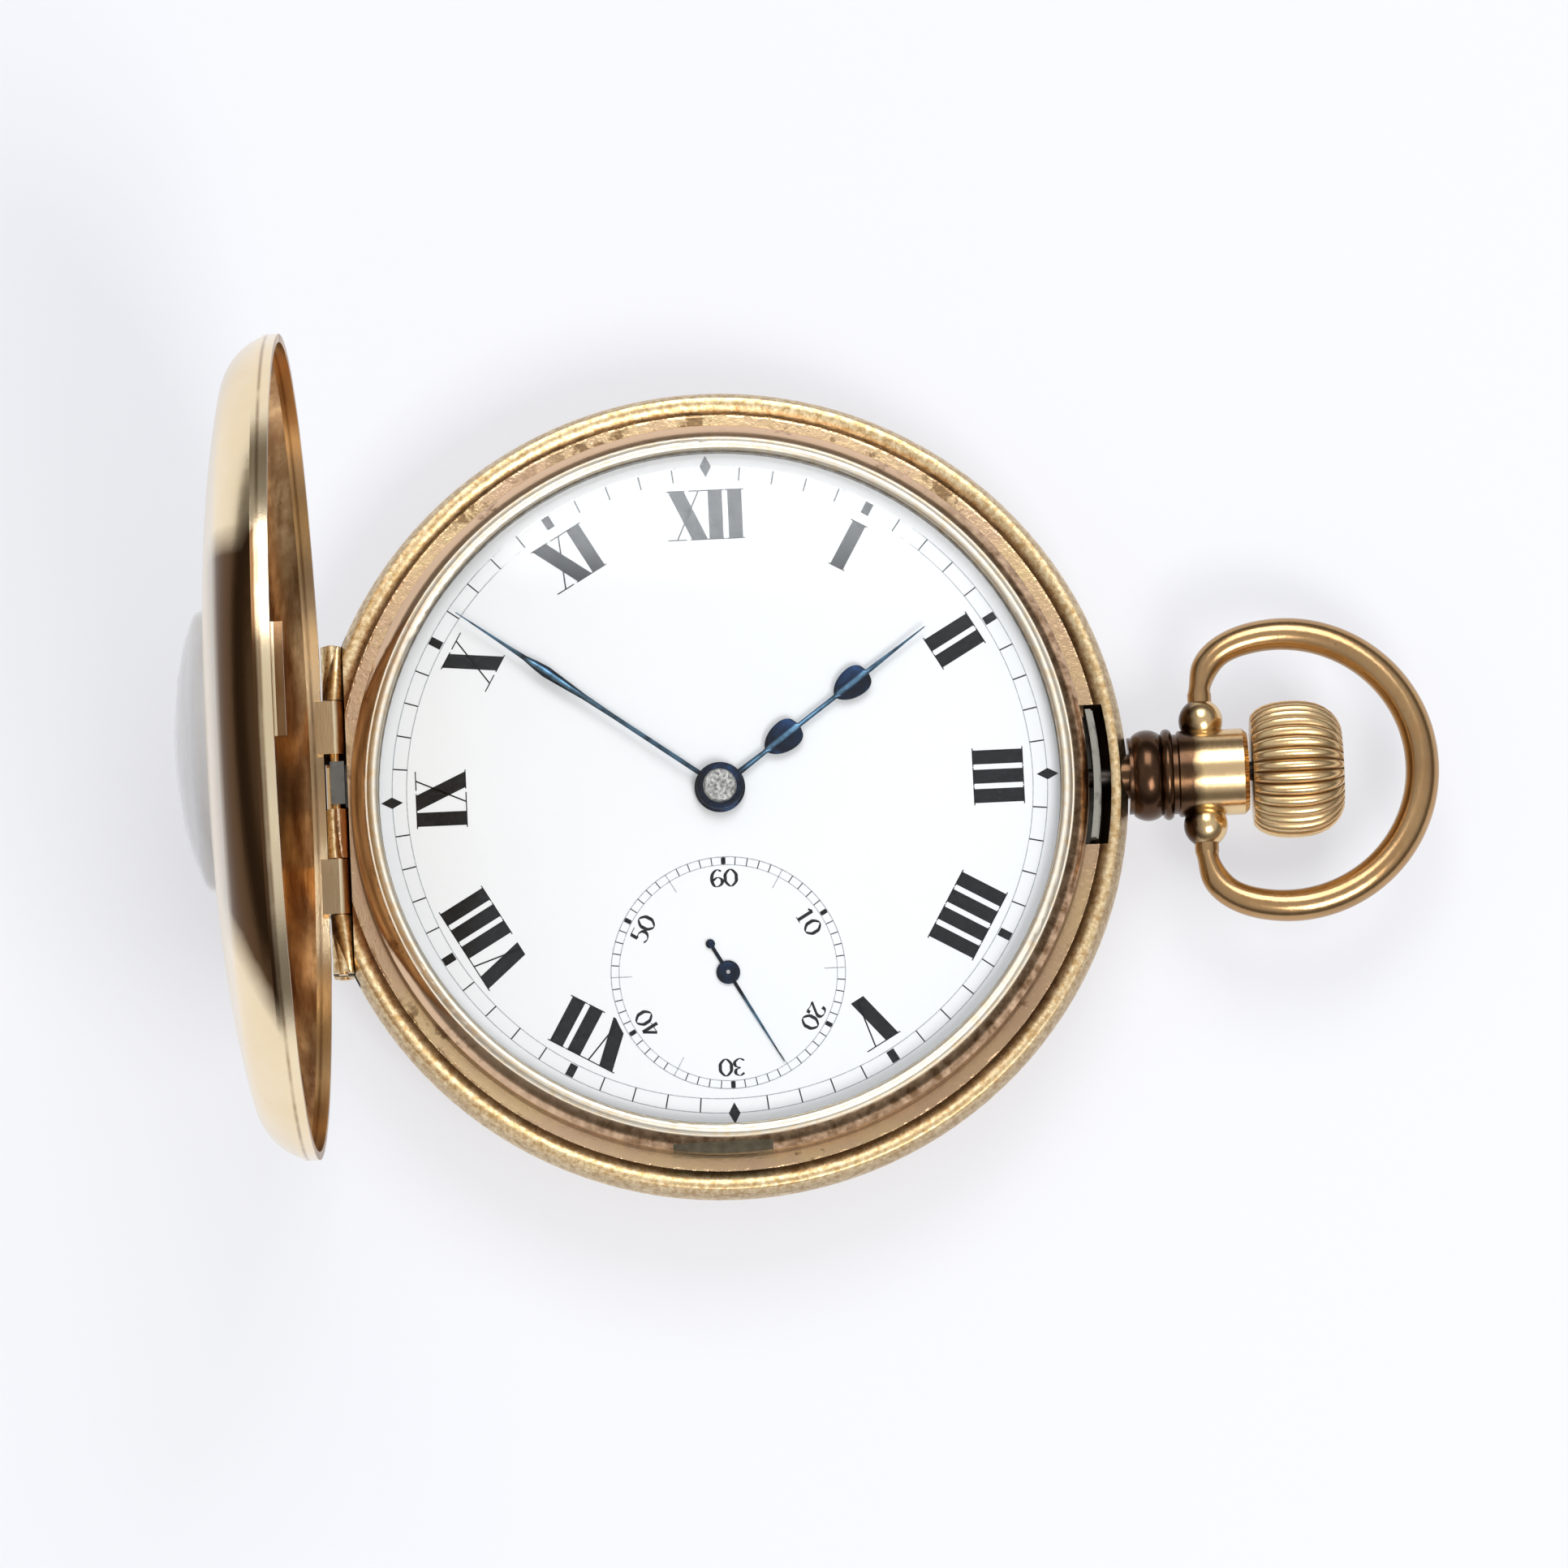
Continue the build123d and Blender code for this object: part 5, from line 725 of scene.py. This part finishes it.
# Each digit of the seconds ring is pen strokes in a box one high
DIGITS = {
    "0": [[(0.3, 1.0), (0.05, 0.75), (0.02, 0.5), (0.05, 0.25), (0.3, 0.0), (0.55, 0.25),
           (0.58, 0.5), (0.55, 0.75), (0.3, 1.0)]],
    "1": [[(0.3, 1.0), (0.3, 0.0)], [(0.1, 0.85), (0.3, 1.0)], [(0.12, 0.0), (0.48, 0.0)]],
    "2": [[(0.06, 0.72), (0.1, 0.92), (0.3, 1.0), (0.5, 0.9), (0.52, 0.68), (0.35, 0.42),
           (0.05, 0.03)],
          [(0.05, 0.03), (0.3, 0.07), (0.56, 0.02)], [(0.56, 0.02), (0.57, 0.22)]],
    "3": [[(0.08, 0.85), (0.28, 1.0), (0.5, 0.88), (0.48, 0.65), (0.26, 0.54)],
          [(0.26, 0.54), (0.5, 0.44), (0.54, 0.2), (0.3, 0.0), (0.06, 0.12)]],
    "4": [[(0.42, 1.0), (0.42, 0.0)], [(0.42, 1.0), (0.02, 0.3)], [(0.02, 0.3), (0.6, 0.3)]],
    "5": [[(0.12, 1.0), (0.52, 1.0)], [(0.12, 1.0), (0.1, 0.55)],
          [(0.1, 0.55), (0.32, 0.62), (0.54, 0.46), (0.52, 0.16), (0.28, 0.0), (0.05, 0.1)]],
    "6": [[(0.52, 0.9), (0.32, 1.0), (0.1, 0.78), (0.04, 0.4), (0.14, 0.08), (0.32, 0.0),
           (0.54, 0.16), (0.54, 0.42), (0.32, 0.54), (0.08, 0.34)]],
}


def roman_numeral(ink, hour, size):
    """One hour's numeral, its top to the rim and its hairline serifs joining its strokes."""
    widths = [STROKE_WIDTHS[letter] for letter in NUMERALS[hour]]
    left = -sum(widths) / 2
    inner, outer = size.numeral_inner, size.numeral_outer
    bar, hair = size.numeral_stroke, size.hairline

    def at(x, radius):
        return turned_point(x, radius, -30 * hour)

    def serif(x, radius, half):
        ink.bar(at(x - half, radius), at(x + half, radius), hair)

    for letter, width in zip(NUMERALS[hour], widths):
        middle = left + width / 2
        left += width
        if letter == "I":
            ink.bar(at(middle, inner), at(middle, outer), bar)
            serif(middle, inner, BAR_SERIF_HALF)
            serif(middle, outer, BAR_SERIF_HALF)
            continue
        reach = width / 2 - SLANT_INSET
        foot = 0.0 if letter == "V" else reach
        for side, wide in ((-1, bar * 1.02), (1, hair * 1.3)):
            top, low = middle + side * reach, middle - side * foot
            half = wide / 2 * math.hypot(1, (top - low) / (outer - inner))
            ink.outline([
                at(top - half, outer), at(top + half, outer),
                at(low + half, inner), at(low - half, inner),
            ])
            serif(top, outer, SLANT_SERIF_HALF)
            if letter == "X":
                serif(low, inner, SLANT_SERIF_HALF)


def radial(stroke, angle, start, end, wide, centre=(0, 0)):
    """A stroke along a radius, between two distances from a centre."""
    stroke.bar(turned_point(0, start, angle, centre), turned_point(0, end, angle, centre), wide)


def minute_track(ink, faint, size):
    """Two faint circles, ticks, a block at each hour and a diamond at each quarter."""
    low, high = size.track_inner, size.track_outer
    for radius in (low, high):
        faint.ring(radius, size.hairline * 0.8)
    for minute in range(60):
        angle = minute * 6
        if minute % 15 == 0:
            middle = high + 0.02
            ink.outline([
                turned_point(x, middle + y, angle) for x, y in (
                    (0, DIAMOND_HALF_LENGTH), (DIAMOND_HALF_WIDTH, 0),
                    (0, -DIAMOND_HALF_LENGTH), (-DIAMOND_HALF_WIDTH, 0),
                )
            ])
        elif minute % 5 == 0:
            radial(ink, angle, low + 0.06, high - 0.04, HOUR_BLOCK_WIDTH)
        else:
            radial(ink, angle, low, high, size.hairline * 1.15)


def seconds_track(ink, faint, size):
    """The small seconds ring: two circles, ticks, blocks at each ten and its numbers."""
    centre = SECONDS_CENTRE
    outer, inner = size.seconds_outer, size.seconds_outer - SECONDS_RING_WIDTH
    faint.ring(outer, SECONDS_LINE, centre, 120)
    faint.ring(inner, INNER_LINE, centre, 120)
    for second in range(60):
        angle = second * 6
        if second % 10 == 5:
            radial(faint, angle, inner - FIVE_TICK_REACH, outer, SECONDS_LINE, centre)
        else:
            radial(ink, angle, inner, outer, SECONDS_LINE, centre)
        if second % 10 == 0:
            radial(ink, angle, inner + 0.04, outer - 0.04, TEN_BLOCK_WIDTH, centre)
    height, foot = size.digit_height, size.seconds_outer - DIGIT_DROP
    for number in range(6):
        for order, digit in enumerate(str(number * 10 or 60)):

            def place(x, y):
                across = (x + order * DIGIT_STEP - DIGIT_MIDDLE) * height * DIGIT_WIDTH
                return turned_point(across, foot + y * height, -60 * number, centre)

            for path in DIGITS[digit]:
                ink.pen(path, place)


def bulb(middle, radius, shaft):
    """Stations of one pear-shaped bulb: drawn out towards the centre, round towards the tip."""
    points = [(middle - 1.9 * radius, shaft)]
    for number in range(1, 16):
        turn = math.pi * number / 16
        width = radius * math.sin(turn) ** (0.62 if number > 8 else 1.2)
        reach = radius * (1.75 if number < 9 else 0.95)
        points.append((middle - reach * math.cos(turn), max(width, shaft)))
    points.append((middle + radius, shaft))
    return points


# Each hand is its stations, distance from its centre and half width, and its turned rings, each
# where it stands along the hand and its profile of radius and share of the hand's height
BULB_SHAFT, RING_STEPS, LENS_STEPS = 0.15, 64, 96
HOUR_STATIONS = [
    (1.2, 0.2), *bulb(5.34, 0.96, BULB_SHAFT), *bulb(10.8, 0.94, BULB_SHAFT), (12.4, BULB_SHAFT),
    (16.3, 0.03),
]
HOUR_RINGS = [(0, [(1.05, 0.0), (1.05, 0.9), (1.2, 1.0), (1.45, 0.95), (1.58, 0.55), (1.58, 0.0)])]
MINUTE_STATIONS = [
    (1.2, 0.15), (8.0, 0.14), (10.2, 0.18), (12.0, 0.3), (13.0, 0.36), (13.8, 0.28), (14.6, 0.16),
    (16.0, 0.11), (19.8, 0.03),
]
MINUTE_RINGS = [(0, [(0.66, 0.0), (0.66, 0.9), (0.8, 1.0), (1.25, 1.0), (1.42, 0.7), (1.44, 0.0)])]
SECONDS_STATIONS = [(-2.1, 0.11), (0.0, 0.12), (4.0, 0.08), (6.6, 0.03)]
SECONDS_RINGS = [
    (0, [(0.13, 0.0), (0.13, 0.8), (0.3, 1.0), (0.6, 0.9), (0.74, 0.4), (0.74, 0.0)]),
    (-2.1, [(0.01, 0.0), (0.01, 1.0), (0.18, 0.9), (0.29, 0.4), (0.29, 0.0)]),
]
HANDS = (
    ("hour", "hours", (0, 0), HOUR_ANGLE, HOUR_STATIONS, HOUR_RINGS),
    ("minute", "minutes", (0, 0), MINUTE_ANGLE, MINUTE_STATIONS, MINUTE_RINGS),
    ("seconds", "seconds", SECONDS_CENTRE, SECONDS_ANGLE, SECONDS_STATIONS, SECONDS_RINGS),
)


def ridged_hand(kind, body, centre, angle, stations, rings, material):
    """A hand: a blade with a ridge along it, from its stations, and turned rings on it."""
    low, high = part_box(f"{kind}_hand")
    foot, thick = low.z, high.z - low.z
    made = bmesh.new()

    def corner(along, across, rise):
        x, y = turned_point(along, across, angle, centre)
        return made.verts.new((x * MM, y * MM, foot + rise * thick))

    rows = []
    for along, half in stations:
        row = [
            corner(along, half * share, 0.3 + 0.7 * (1 - abs(share) ** 1.5))
            for share in (-1, -0.8, -0.4, 0, 0.4, 0.8, 1)
        ]
        rows.append(row + [corner(along, half * share, 0) for share in (1, -1)])
    skin(made, rows, closed=False)
    made.faces.new(rows[0])
    made.faces.new(rows[-1][::-1])
    for along, profile in rings:
        spun = []
        for turn in range(RING_STEPS):
            column = []
            for radius, rise in profile:
                x, y = turned_point(radius, 0, turn * 360 / RING_STEPS)
                column.append(corner(x + along, y, rise))
            spun.append(column)
        skin(made, spun)
    rounded_piece(f"blued_{kind}_hand", made, material, body, f"{kind}_hand")


# The crown's ribbed side: share of its length from its foot, and share of its radius
CROWN_SIDE = [
    (0.0, 0.79), (0.02, 0.83), (0.07, 0.89), (0.15, 0.945), (0.25, 0.98), (0.37, 0.998), (0.5, 1.0),
    (0.62, 0.985), (0.73, 0.95), (0.82, 0.895), (0.9, 0.815), (0.955, 0.725), (0.985, 0.65),
]
CROWN_BORE, CROWN_GROOVE, CROWN_TIP = 0.62 * MM, 0.3 * MM, 0.3 * MM


def ribbed_crown(name, material):
    """The crown: rounded ribs along an onion shape, its end flat, with a bore for the stem."""
    length = crown_high.x - crown_low.x
    radius = (crown_high.y - crown_low.y) / 2
    profile = [(length * 0.4, CROWN_BORE, 0), (0, CROWN_BORE, 0)]
    profile += [(length * along, radius * share, 1) for along, share in CROWN_SIDE]
    profile += [(length, radius * 0.6, 0.25), (length, radius * 0.5, 0), (length, CROWN_TIP, 0)]
    made = bmesh.new()
    steps = CROWN_RIBS * 10
    columns = []
    for step in range(steps):
        turn = 2 * math.pi * step / steps
        dip = CROWN_GROOVE * (1 - abs(math.sin(turn * CROWN_RIBS / 2)) ** 0.8)
        y, z = math.cos(turn), math.sin(turn)
        columns.append([
            made.verts.new(Vector((crown_low.x + along, CROWN_CENTRE.y, CROWN_CENTRE.z))
                           + Vector((0, y, z)) * (out - dip * ribs))
            for along, out, ribs in profile
        ])
    skin(made, columns, ring=False)
    made.faces.new([column[-1] for column in columns])
    made.faces.new([column[0] for column in columns][::-1])
    rounded_piece(name, made, material, "crown", "crown")


# The lens's outline in millimetres: how far out it stands along the window's axis, from a plane
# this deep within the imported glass, and its radius
LENS_DEPTH = 2.14
LENS_OUTLINE = [
    (2.2, 0.01), (2.02, 3.0), (1.62, 5.6), (0.95, 7.6), (0.7, GLASS_RADIUS), (-0.78, GLASS_RADIUS),
    (-0.78, 9.0), (-0.5, 9.0), (-0.45, 8.55), (0.9, 8.52), (1.2, 8.42), (1.45, 8.1), (1.9, 6.9),
    (2.4, 4.9), (2.72, 2.6), (2.82, 0.01),
]


def window_lens(name, material):
    """The glass of the lid's window: a flange under the dome, a straight edge and a crowned top."""
    out = Vector((-math.cos(LID_TILT), 0, -math.sin(LID_TILT)))
    up = Vector((-math.sin(LID_TILT), 0, math.cos(LID_TILT)))
    centre = Vector((lens_low.x + LENS_DEPTH * MM, 0, (lens_low.z + lens_high.z) / 2))
    made = bmesh.new()
    columns = []
    for step in range(LENS_STEPS):
        turn = 2 * math.pi * step / LENS_STEPS
        way = up * math.cos(turn) + Vector((0, math.sin(turn), 0))
        columns.append([
            made.verts.new(centre + (out * far + way * radius) * MM) for far, radius in LENS_OUTLINE
        ])
    skin(made, columns)
    rounded_piece(name, made, material, "front_cover", "lid_window_glass")


def sized(name, description, default):
    """A size that a user would change."""
    return FloatProperty(name=name, description=description + ", in millimetres", default=default)


def coloured(name, description, default):
    """A colour that a user would change."""
    return FloatVectorProperty(name=name, description=description, default=default, subtype="COLOR")


class WatchSizes(bpy.types.PropertyGroup):
    """Sizes of the printed dial."""

    track_inner: sized("Track inner radius", "Inner circle of the minute track", 19.5)
    track_outer: sized("Track outer radius", "Outer circle of the minute track", 20.4)
    numeral_inner: sized("Numeral foot", "Radius of the feet of the numerals", 15.8)
    numeral_outer: sized("Numeral top", "Radius of the tops of the numerals", 18.9)
    numeral_stroke: sized("Thick stroke", "Width of a numeral's thick strokes", 0.88)
    hairline: sized("Hairline", "Width of thin lines of the print", 0.07)
    seconds_outer: sized("Seconds ring", "Outer radius of the seconds ring", 7.28)
    digit_height: sized("Digit height", "Height of the seconds numbers", 1.06)
    print_thick: FloatProperty(
        name="Print height", description="How far the print stands up", default=0.000012,
        subtype="DISTANCE", unit="LENGTH", precision=6,
    )


class WatchColours(bpy.types.PropertyGroup):
    """Colours of the case, dial, hands and movement."""

    gold: coloured("Gold", "Polished gold of the case", (0.83, 0.61, 0.33))
    gold_shade: coloured("Gold shade", "Gold where it is dull", (0.52, 0.33, 0.14))
    gold_rose: coloured("Rosy gold", "Gold where it is rosy", (0.74, 0.51, 0.33))
    gold_pale: coloured("Pale gold", "Gold of the rounded rim", (0.93, 0.77, 0.49))
    gold_warm: coloured("Warm gold", "Browner gold of the crown", (0.5, 0.26, 0.1))
    # Also the dark reflection painted on the band and the bezel
    gold_brown: coloured("Browned gold", "Gold browned by age", (0.2, 0.105, 0.045))
    # Its paleness is a painted reflection of white
    lip: coloured("Inner lip", "Pale inner lip of the bezel", (0.86, 0.8, 0.68))
    bow: coloured("Bow", "Deeper gold of the bow", (0.52, 0.33, 0.16))
    tarnish: coloured("Tarnish", "Grey-green of the notch at six", (0.1, 0.1, 0.07))
    collar: coloured("Collar", "Collar of the pendant, nearly black", (0.05, 0.02, 0.012))
    # Painted shade between the crown's ribs
    crown_groove: coloured("Crown grooves", "Down between its ribs", (0.13, 0.055, 0.02))
    lid_inside: coloured("Lid inside", "Browned gold inside the lid", (0.85, 0.58, 0.3))
    # Also painted as shade inside the lid next to its rim wall
    lid_stain: coloured("Lid stain", "Darkest brown inside the lid", (0.2, 0.09, 0.03))
    lid_pale: coloured("Lid dome gold", "Bright gold of the dome", (0.93, 0.78, 0.54))
    # A painted dark reflection on the outside of the lid's dome
    lid_dark: coloured("Lid dome", "Dark brown of the lid's dome", (0.085, 0.036, 0.011))
    # Also the shade painted in the lock spring's slot, and the near black at the lid's hinge
    dirt: coloured("Dirt", "Dirt in the grooves", (0.035, 0.02, 0.012))
    crystal: coloured("Crystal", "Glare of the crystal", (0.93, 0.95, 0.97))
    window: coloured("Window glass", "Veil of the glass of the lid", (0.96, 0.96, 0.97))
    enamel: coloured("Enamel", "White enamel of the dial", (0.885, 0.91, 0.93))
    enamel_shade: coloured("Enamel shade", "Enamel where it is greyer", (0.84, 0.865, 0.89))
    enamel_fleck: coloured("Enamel fleck", "Stray flecks in the enamel", (0.35, 0.3, 0.25))
    ink: coloured("Print", "Black of the dial's print", (0.006, 0.007, 0.008))
    ink_worn: coloured("Worn print", "Print where it is thin", (0.06, 0.065, 0.07))
    ink_faint: coloured("Faint print", "Grey of the thin circles", (0.34, 0.37, 0.4))
    blue_dark: coloured("Dark blue", "Blued steel at its darkest", (0.003, 0.005, 0.012))
    blue_light: coloured("Bright blue", "Blued steel at its brightest", (0.012, 0.04, 0.11))
    blue_glint: coloured("Blue glint", "Light along the ridge of a hand", (0.16, 0.34, 0.52))
    steel: coloured("Steel", "Bright steel", (0.5, 0.5, 0.49))
    steel_dark: coloured("Dark steel", "Oiled dark steel", (0.16, 0.16, 0.15))
    steel_fleck: coloured("Steel flecks", "Its bright specks", (0.62, 0.62, 0.6))
    steel_pit: coloured("Steel pits", "Pits of the cannon pinion", (0.09, 0.09, 0.085))
    steel_lip: coloured("Steel lip", "Worn lip of the lock spring", (0.3, 0.29, 0.26))
    steel_black: coloured("Black steel", "Stem and its sleeve", (0.06, 0.05, 0.045))
    nickel: coloured("Nickel", "Nickel of the plates", (0.68, 0.67, 0.63))
    nickel_dull: coloured("Dull nickel", "Nickel between its stripes", (0.5, 0.49, 0.46))
    brass: coloured("Brass", "Brass of the wheels", (0.72, 0.53, 0.24))
    brass_dull: coloured("Dull brass", "Brass where it is tarnished", (0.42, 0.27, 0.1))
    ruby: coloured("Ruby", "Ruby of the jewels", (0.6, 0.03, 0.12))
    ruby_deep: coloured("Deep ruby", "Ruby at its darkest", (0.35, 0.01, 0.06))
    floor: coloured("Floor", "Pale floor and backdrop", (0.93, 0.94, 0.985))


class WATCH_OT_case(bpy.types.Operator):
    """Finish the gold case: band, bezel, covers, pendant, bow and crown, and its two glasses"""

    bl_idname = "watch.case"
    bl_label = "Case"

    def execute(self, context):
        look = context.scene.watch_colours
        for names, material in (
            (GOLD_NODES, worn_gold("gold", look.gold, look.gold_shade, look.gold_rose).material),
            (("case_middle",), band_gold("band_gold", look)),
            (("bezel",), bezel_gold("bezel_gold", look)),
            (("pendant",), pendant_gold("pendant_gold", look)),
            (("front_lid",), lid_gold("lid_gold", look)),
            (("bow",), worn_gold("bow_gold", look.bow, look.gold_brown, look.gold_warm).material),
            (
                ("inner_cover",),
                worn_gold("inner_gold", look.gold_shade, look.lid_inside, look.gold_rose).material,
            ),
            (("crystal",), clear_glass("crystal_glass", 0.01, look.crystal, glare=CRYSTAL_GLARE)),
        ):
            dress(names, material)
        ribbed_crown("ribbed_crown", crown_gold("crown_gold", look))
        window_lens("window_lens", clear_glass("window_glass", 0.26, look.window, edge=LENS_EDGE))
        return {"FINISHED"}


class WATCH_OT_movement(bpy.types.Operator):
    """Finish the movement, its train, springs and winding work"""

    bl_idname = "watch.movement"
    bl_label = "Movement"

    def execute(self, context):
        look = context.scene.watch_colours
        for names, material in (
            (PLATE_NODES, striped_plate("striped_nickel", look)),
            (BRASS_NODES, matt_brass("train_brass", look)),
            (STEEL_NODES, turned_steel("turned_steel", look.steel)),
            (("lift_spring",), turned_steel("spring_steel", look.steel_dark, 0.25, 3000)),
            (("lock_spring",), turned_steel("lip_steel", look.steel_lip, 0.5, 3000)),
            (
                ("winding_stem", "pendant_sleeve"),
                turned_steel("dark_steel", look.steel_black, 0.35, 3000),
            ),
            (("cannon_pinion", "centre_pinion"), pitted_steel("boss_steel", look)),
            (("jewels", "pallet_stones"), ruby("ruby", look)),
            (("hairspring",), blued_steel("blued_spring", look)),
        ):
            dress(names, material)
        return {"FINISHED"}


class WATCH_OT_dial(bpy.types.Operator):
    """Finish the enamel dial and print its numerals, minute track and seconds ring"""

    bl_idname = "watch.dial"
    bl_label = "Dial"

    def execute(self, context):
        look, size = context.scene.watch_colours, context.scene.watch_sizes
        dress(("dial",), enamel("enamel", look))
        black = printed_ink("printed_black", look.ink, look.ink_worn, 0.4)
        grey = printed_ink("printed_grey", look.ink_faint, look.enamel_shade, 0.6)
        thick = size.print_thick
        hours = Print((SECONDS_CENTRE, size.seconds_outer + SECONDS_MARGIN))
        for hour in NUMERALS:
            roman_numeral(hours, hour, size)
        printed_piece("hour_numerals", hours, thick, black)
        for draw, marks_name, circles_name in (
            (minute_track, "minute_track", "minute_circles"),
            (seconds_track, "seconds_ring", "seconds_circles"),
        ):
            marks, circles = Print(), Print()
            draw(marks, circles, size)
            printed_piece(marks_name, marks, thick, black)
            printed_piece(circles_name, circles, thick * CIRCLE_SHARE, grey)
        return {"FINISHED"}


class WATCH_OT_hands(bpy.types.Operator):
    """Make the blued hour, minute and seconds hands"""

    bl_idname = "watch.hands"
    bl_label = "Hands"

    def execute(self, context):
        look = context.scene.watch_colours
        for kind, body, centre, angle, stations, rings in HANDS:
            blued = blued_steel(f"blued_{kind}_steel", look, (centre, angle))
            ridged_hand(kind, body, centre, angle, stations, rings, blued)
        return {"FINISHED"}


# The studio's light by height, from the ground up to straight overhead
SKY_STOPS = [
    (0.0, (0.6, 0.6, 0.61)), (0.12, (0.24, 0.22, 0.2)), (0.42, (0.32, 0.31, 0.3)),
    (0.6, (0.85, 0.86, 0.9)), (1.0, (1.0, 1.0, 1.0)),
]
SKY_STRENGTH, FLOOR_SIZE, FLOOR_GLOW = 0.68, 2.0, 0.55

# Each lamp: its place, its width in metres, its power in watts and its colour
LAMPS = (
    ("key_lamp", (0.22, -0.4, 0.64), 0.3, 3.0, (1.0, 0.985, 0.96)),
    ("top_lamp", (0.05, 0.44, 0.6), 0.4, 2.2, (0.97, 0.985, 1.0)),
)

# The photograph looks down, leaning towards six o'clock, on a watch turned a little; the camera
# aims beside the dial's middle, and half its view is this wide at this distance, in metres
CAMERA_TURN, CAMERA_LEAN = math.radians(-2.63), math.radians(9.5)
CAMERA_DISTANCE, HALF_VIEW = 0.77, 0.0488
AIM_RIGHT, AIM_UP = 0.00399, 0.00028


class WATCH_OT_stage(bpy.types.Operator):
    """Set the pale floor, the soft lamps, the world and the camera"""

    bl_idname = "watch.stage"
    bl_label = "Stage"

    def execute(self, context):
        self.lay_floor(context.scene)
        self.light(context.scene)
        self.aim_camera(context.scene)
        return {"FINISHED"}

    def lay_floor(self, scene):
        """A pale floor that glows a little where it is looked at or reflected."""
        tone = scene.watch_colours.floor
        pale = Finish("pale_floor", Base_Color=[part * 0.9 for part in tone], Roughness=0.9)
        camera, glossy, through = (
            pale.node("ShaderNodeLightPath", output=f"Is {kind} Ray")
            for kind in ("Camera", "Glossy", "Transmission")
        )
        glow = pale.node("ShaderNodeEmission", Color=tone, Strength=1.0)
        seen = (camera + glossy + through).least(1)
        pale.blend(seen * FLOOR_GLOW, pale.own_shader(), glow)
        made = bmesh.new()
        bmesh.ops.create_grid(made, x_segments=1, y_segments=1, size=FLOOR_SIZE)
        link_piece("floor", made, pale.material)

    def light(self, scene):
        """A studio that is dark low down and pale above, and two soft lamps."""
        scene.world = bpy.data.worlds.new("studio")
        scene.world.use_nodes = True
        sky = Nodes(scene.world.node_tree)
        height = sky.axis(sky.node("ShaderNodeTexCoord", output="Generated"), 2)
        light = sky.node("ShaderNodeValToRGB", {"stops": SKY_STOPS}, height)
        background = sky.tree.nodes["Background"]
        sky.feed(background.inputs["Color"], light)
        sky.feed(background.inputs["Strength"], SKY_STRENGTH)
        for name, place, width, power, tint in LAMPS:
            lamp_data = bpy.data.lights.new(name, "AREA")
            lamp_data.shape = "SQUARE"
            lamp_data.size = width
            lamp_data.energy = power
            lamp_data.color = tint
            lamp = bpy.data.objects.new(name, lamp_data)
            lamp.location = place
            lamp.rotation_euler = (-Vector(place)).to_track_quat("-Z", "Y").to_euler()
            scene.collection.objects.link(lamp)

    def aim_camera(self, scene):
        """The photograph's view."""
        right = Vector((math.cos(CAMERA_TURN), math.sin(CAMERA_TURN), 0))
        upward = Vector((-math.sin(CAMERA_TURN), math.cos(CAMERA_TURN), 0))
        back = upward * -math.sin(CAMERA_LEAN) + Vector((0, 0, math.cos(CAMERA_LEAN)))
        aim = Vector((0, 0, DIAL_TOP)) + right * AIM_RIGHT + upward * AIM_UP
        camera_data = bpy.data.cameras.new("camera")
        camera_data.sensor_width = 36
        camera_data.lens = camera_data.sensor_width / 2 * CAMERA_DISTANCE / HALF_VIEW
        camera_data.clip_start = 0.01
        camera = bpy.data.objects.new("camera", camera_data)
        facing = Matrix((right, back.cross(right), back)).transposed()
        camera.matrix_world = Matrix.Translation(aim + back * CAMERA_DISTANCE) @ facing.to_4x4()
        scene.collection.objects.link(camera)
        scene.camera = camera
        scene.view_settings.view_transform = "Standard"


class WATCH_PT_panel(bpy.types.Panel):
    """The watch's steps, in the order in which they are made"""

    bl_idname = "WATCH_PT_panel"
    bl_label = "Pocket watch"
    bl_space_type = "VIEW_3D"
    bl_region_type = "UI"
    bl_category = "Watch"

    def draw(self, context):
        for group in (context.scene.watch_sizes, context.scene.watch_colours):
            for name in group.__annotations__:
                self.layout.prop(group, name)
        for step in STEPS:
            self.layout.operator(step)


CLASSES = (
    WatchSizes, WatchColours, WATCH_OT_case, WATCH_OT_movement, WATCH_OT_dial, WATCH_OT_hands,
    WATCH_OT_stage, WATCH_PT_panel,
)
STEPS = ("watch.case", "watch.movement", "watch.dial", "watch.hands", "watch.stage")


def register():
    """Register the classes and hang the two groups on the scene."""
    for kind in CLASSES:
        bpy.utils.register_class(kind)
    bpy.types.Scene.watch_sizes = PointerProperty(type=WatchSizes)
    bpy.types.Scene.watch_colours = PointerProperty(type=WatchColours)


def unregister():
    """Take the groups and the classes away again."""
    del bpy.types.Scene.watch_colours
    del bpy.types.Scene.watch_sizes
    for kind in reversed(CLASSES):
        bpy.utils.unregister_class(kind)


def main():
    """Make every piece in order."""
    register()
    for step in STEPS:
        group, name = step.split(".")
        getattr(getattr(bpy.ops, group), name)()


if __name__ == "__main__":
    main()
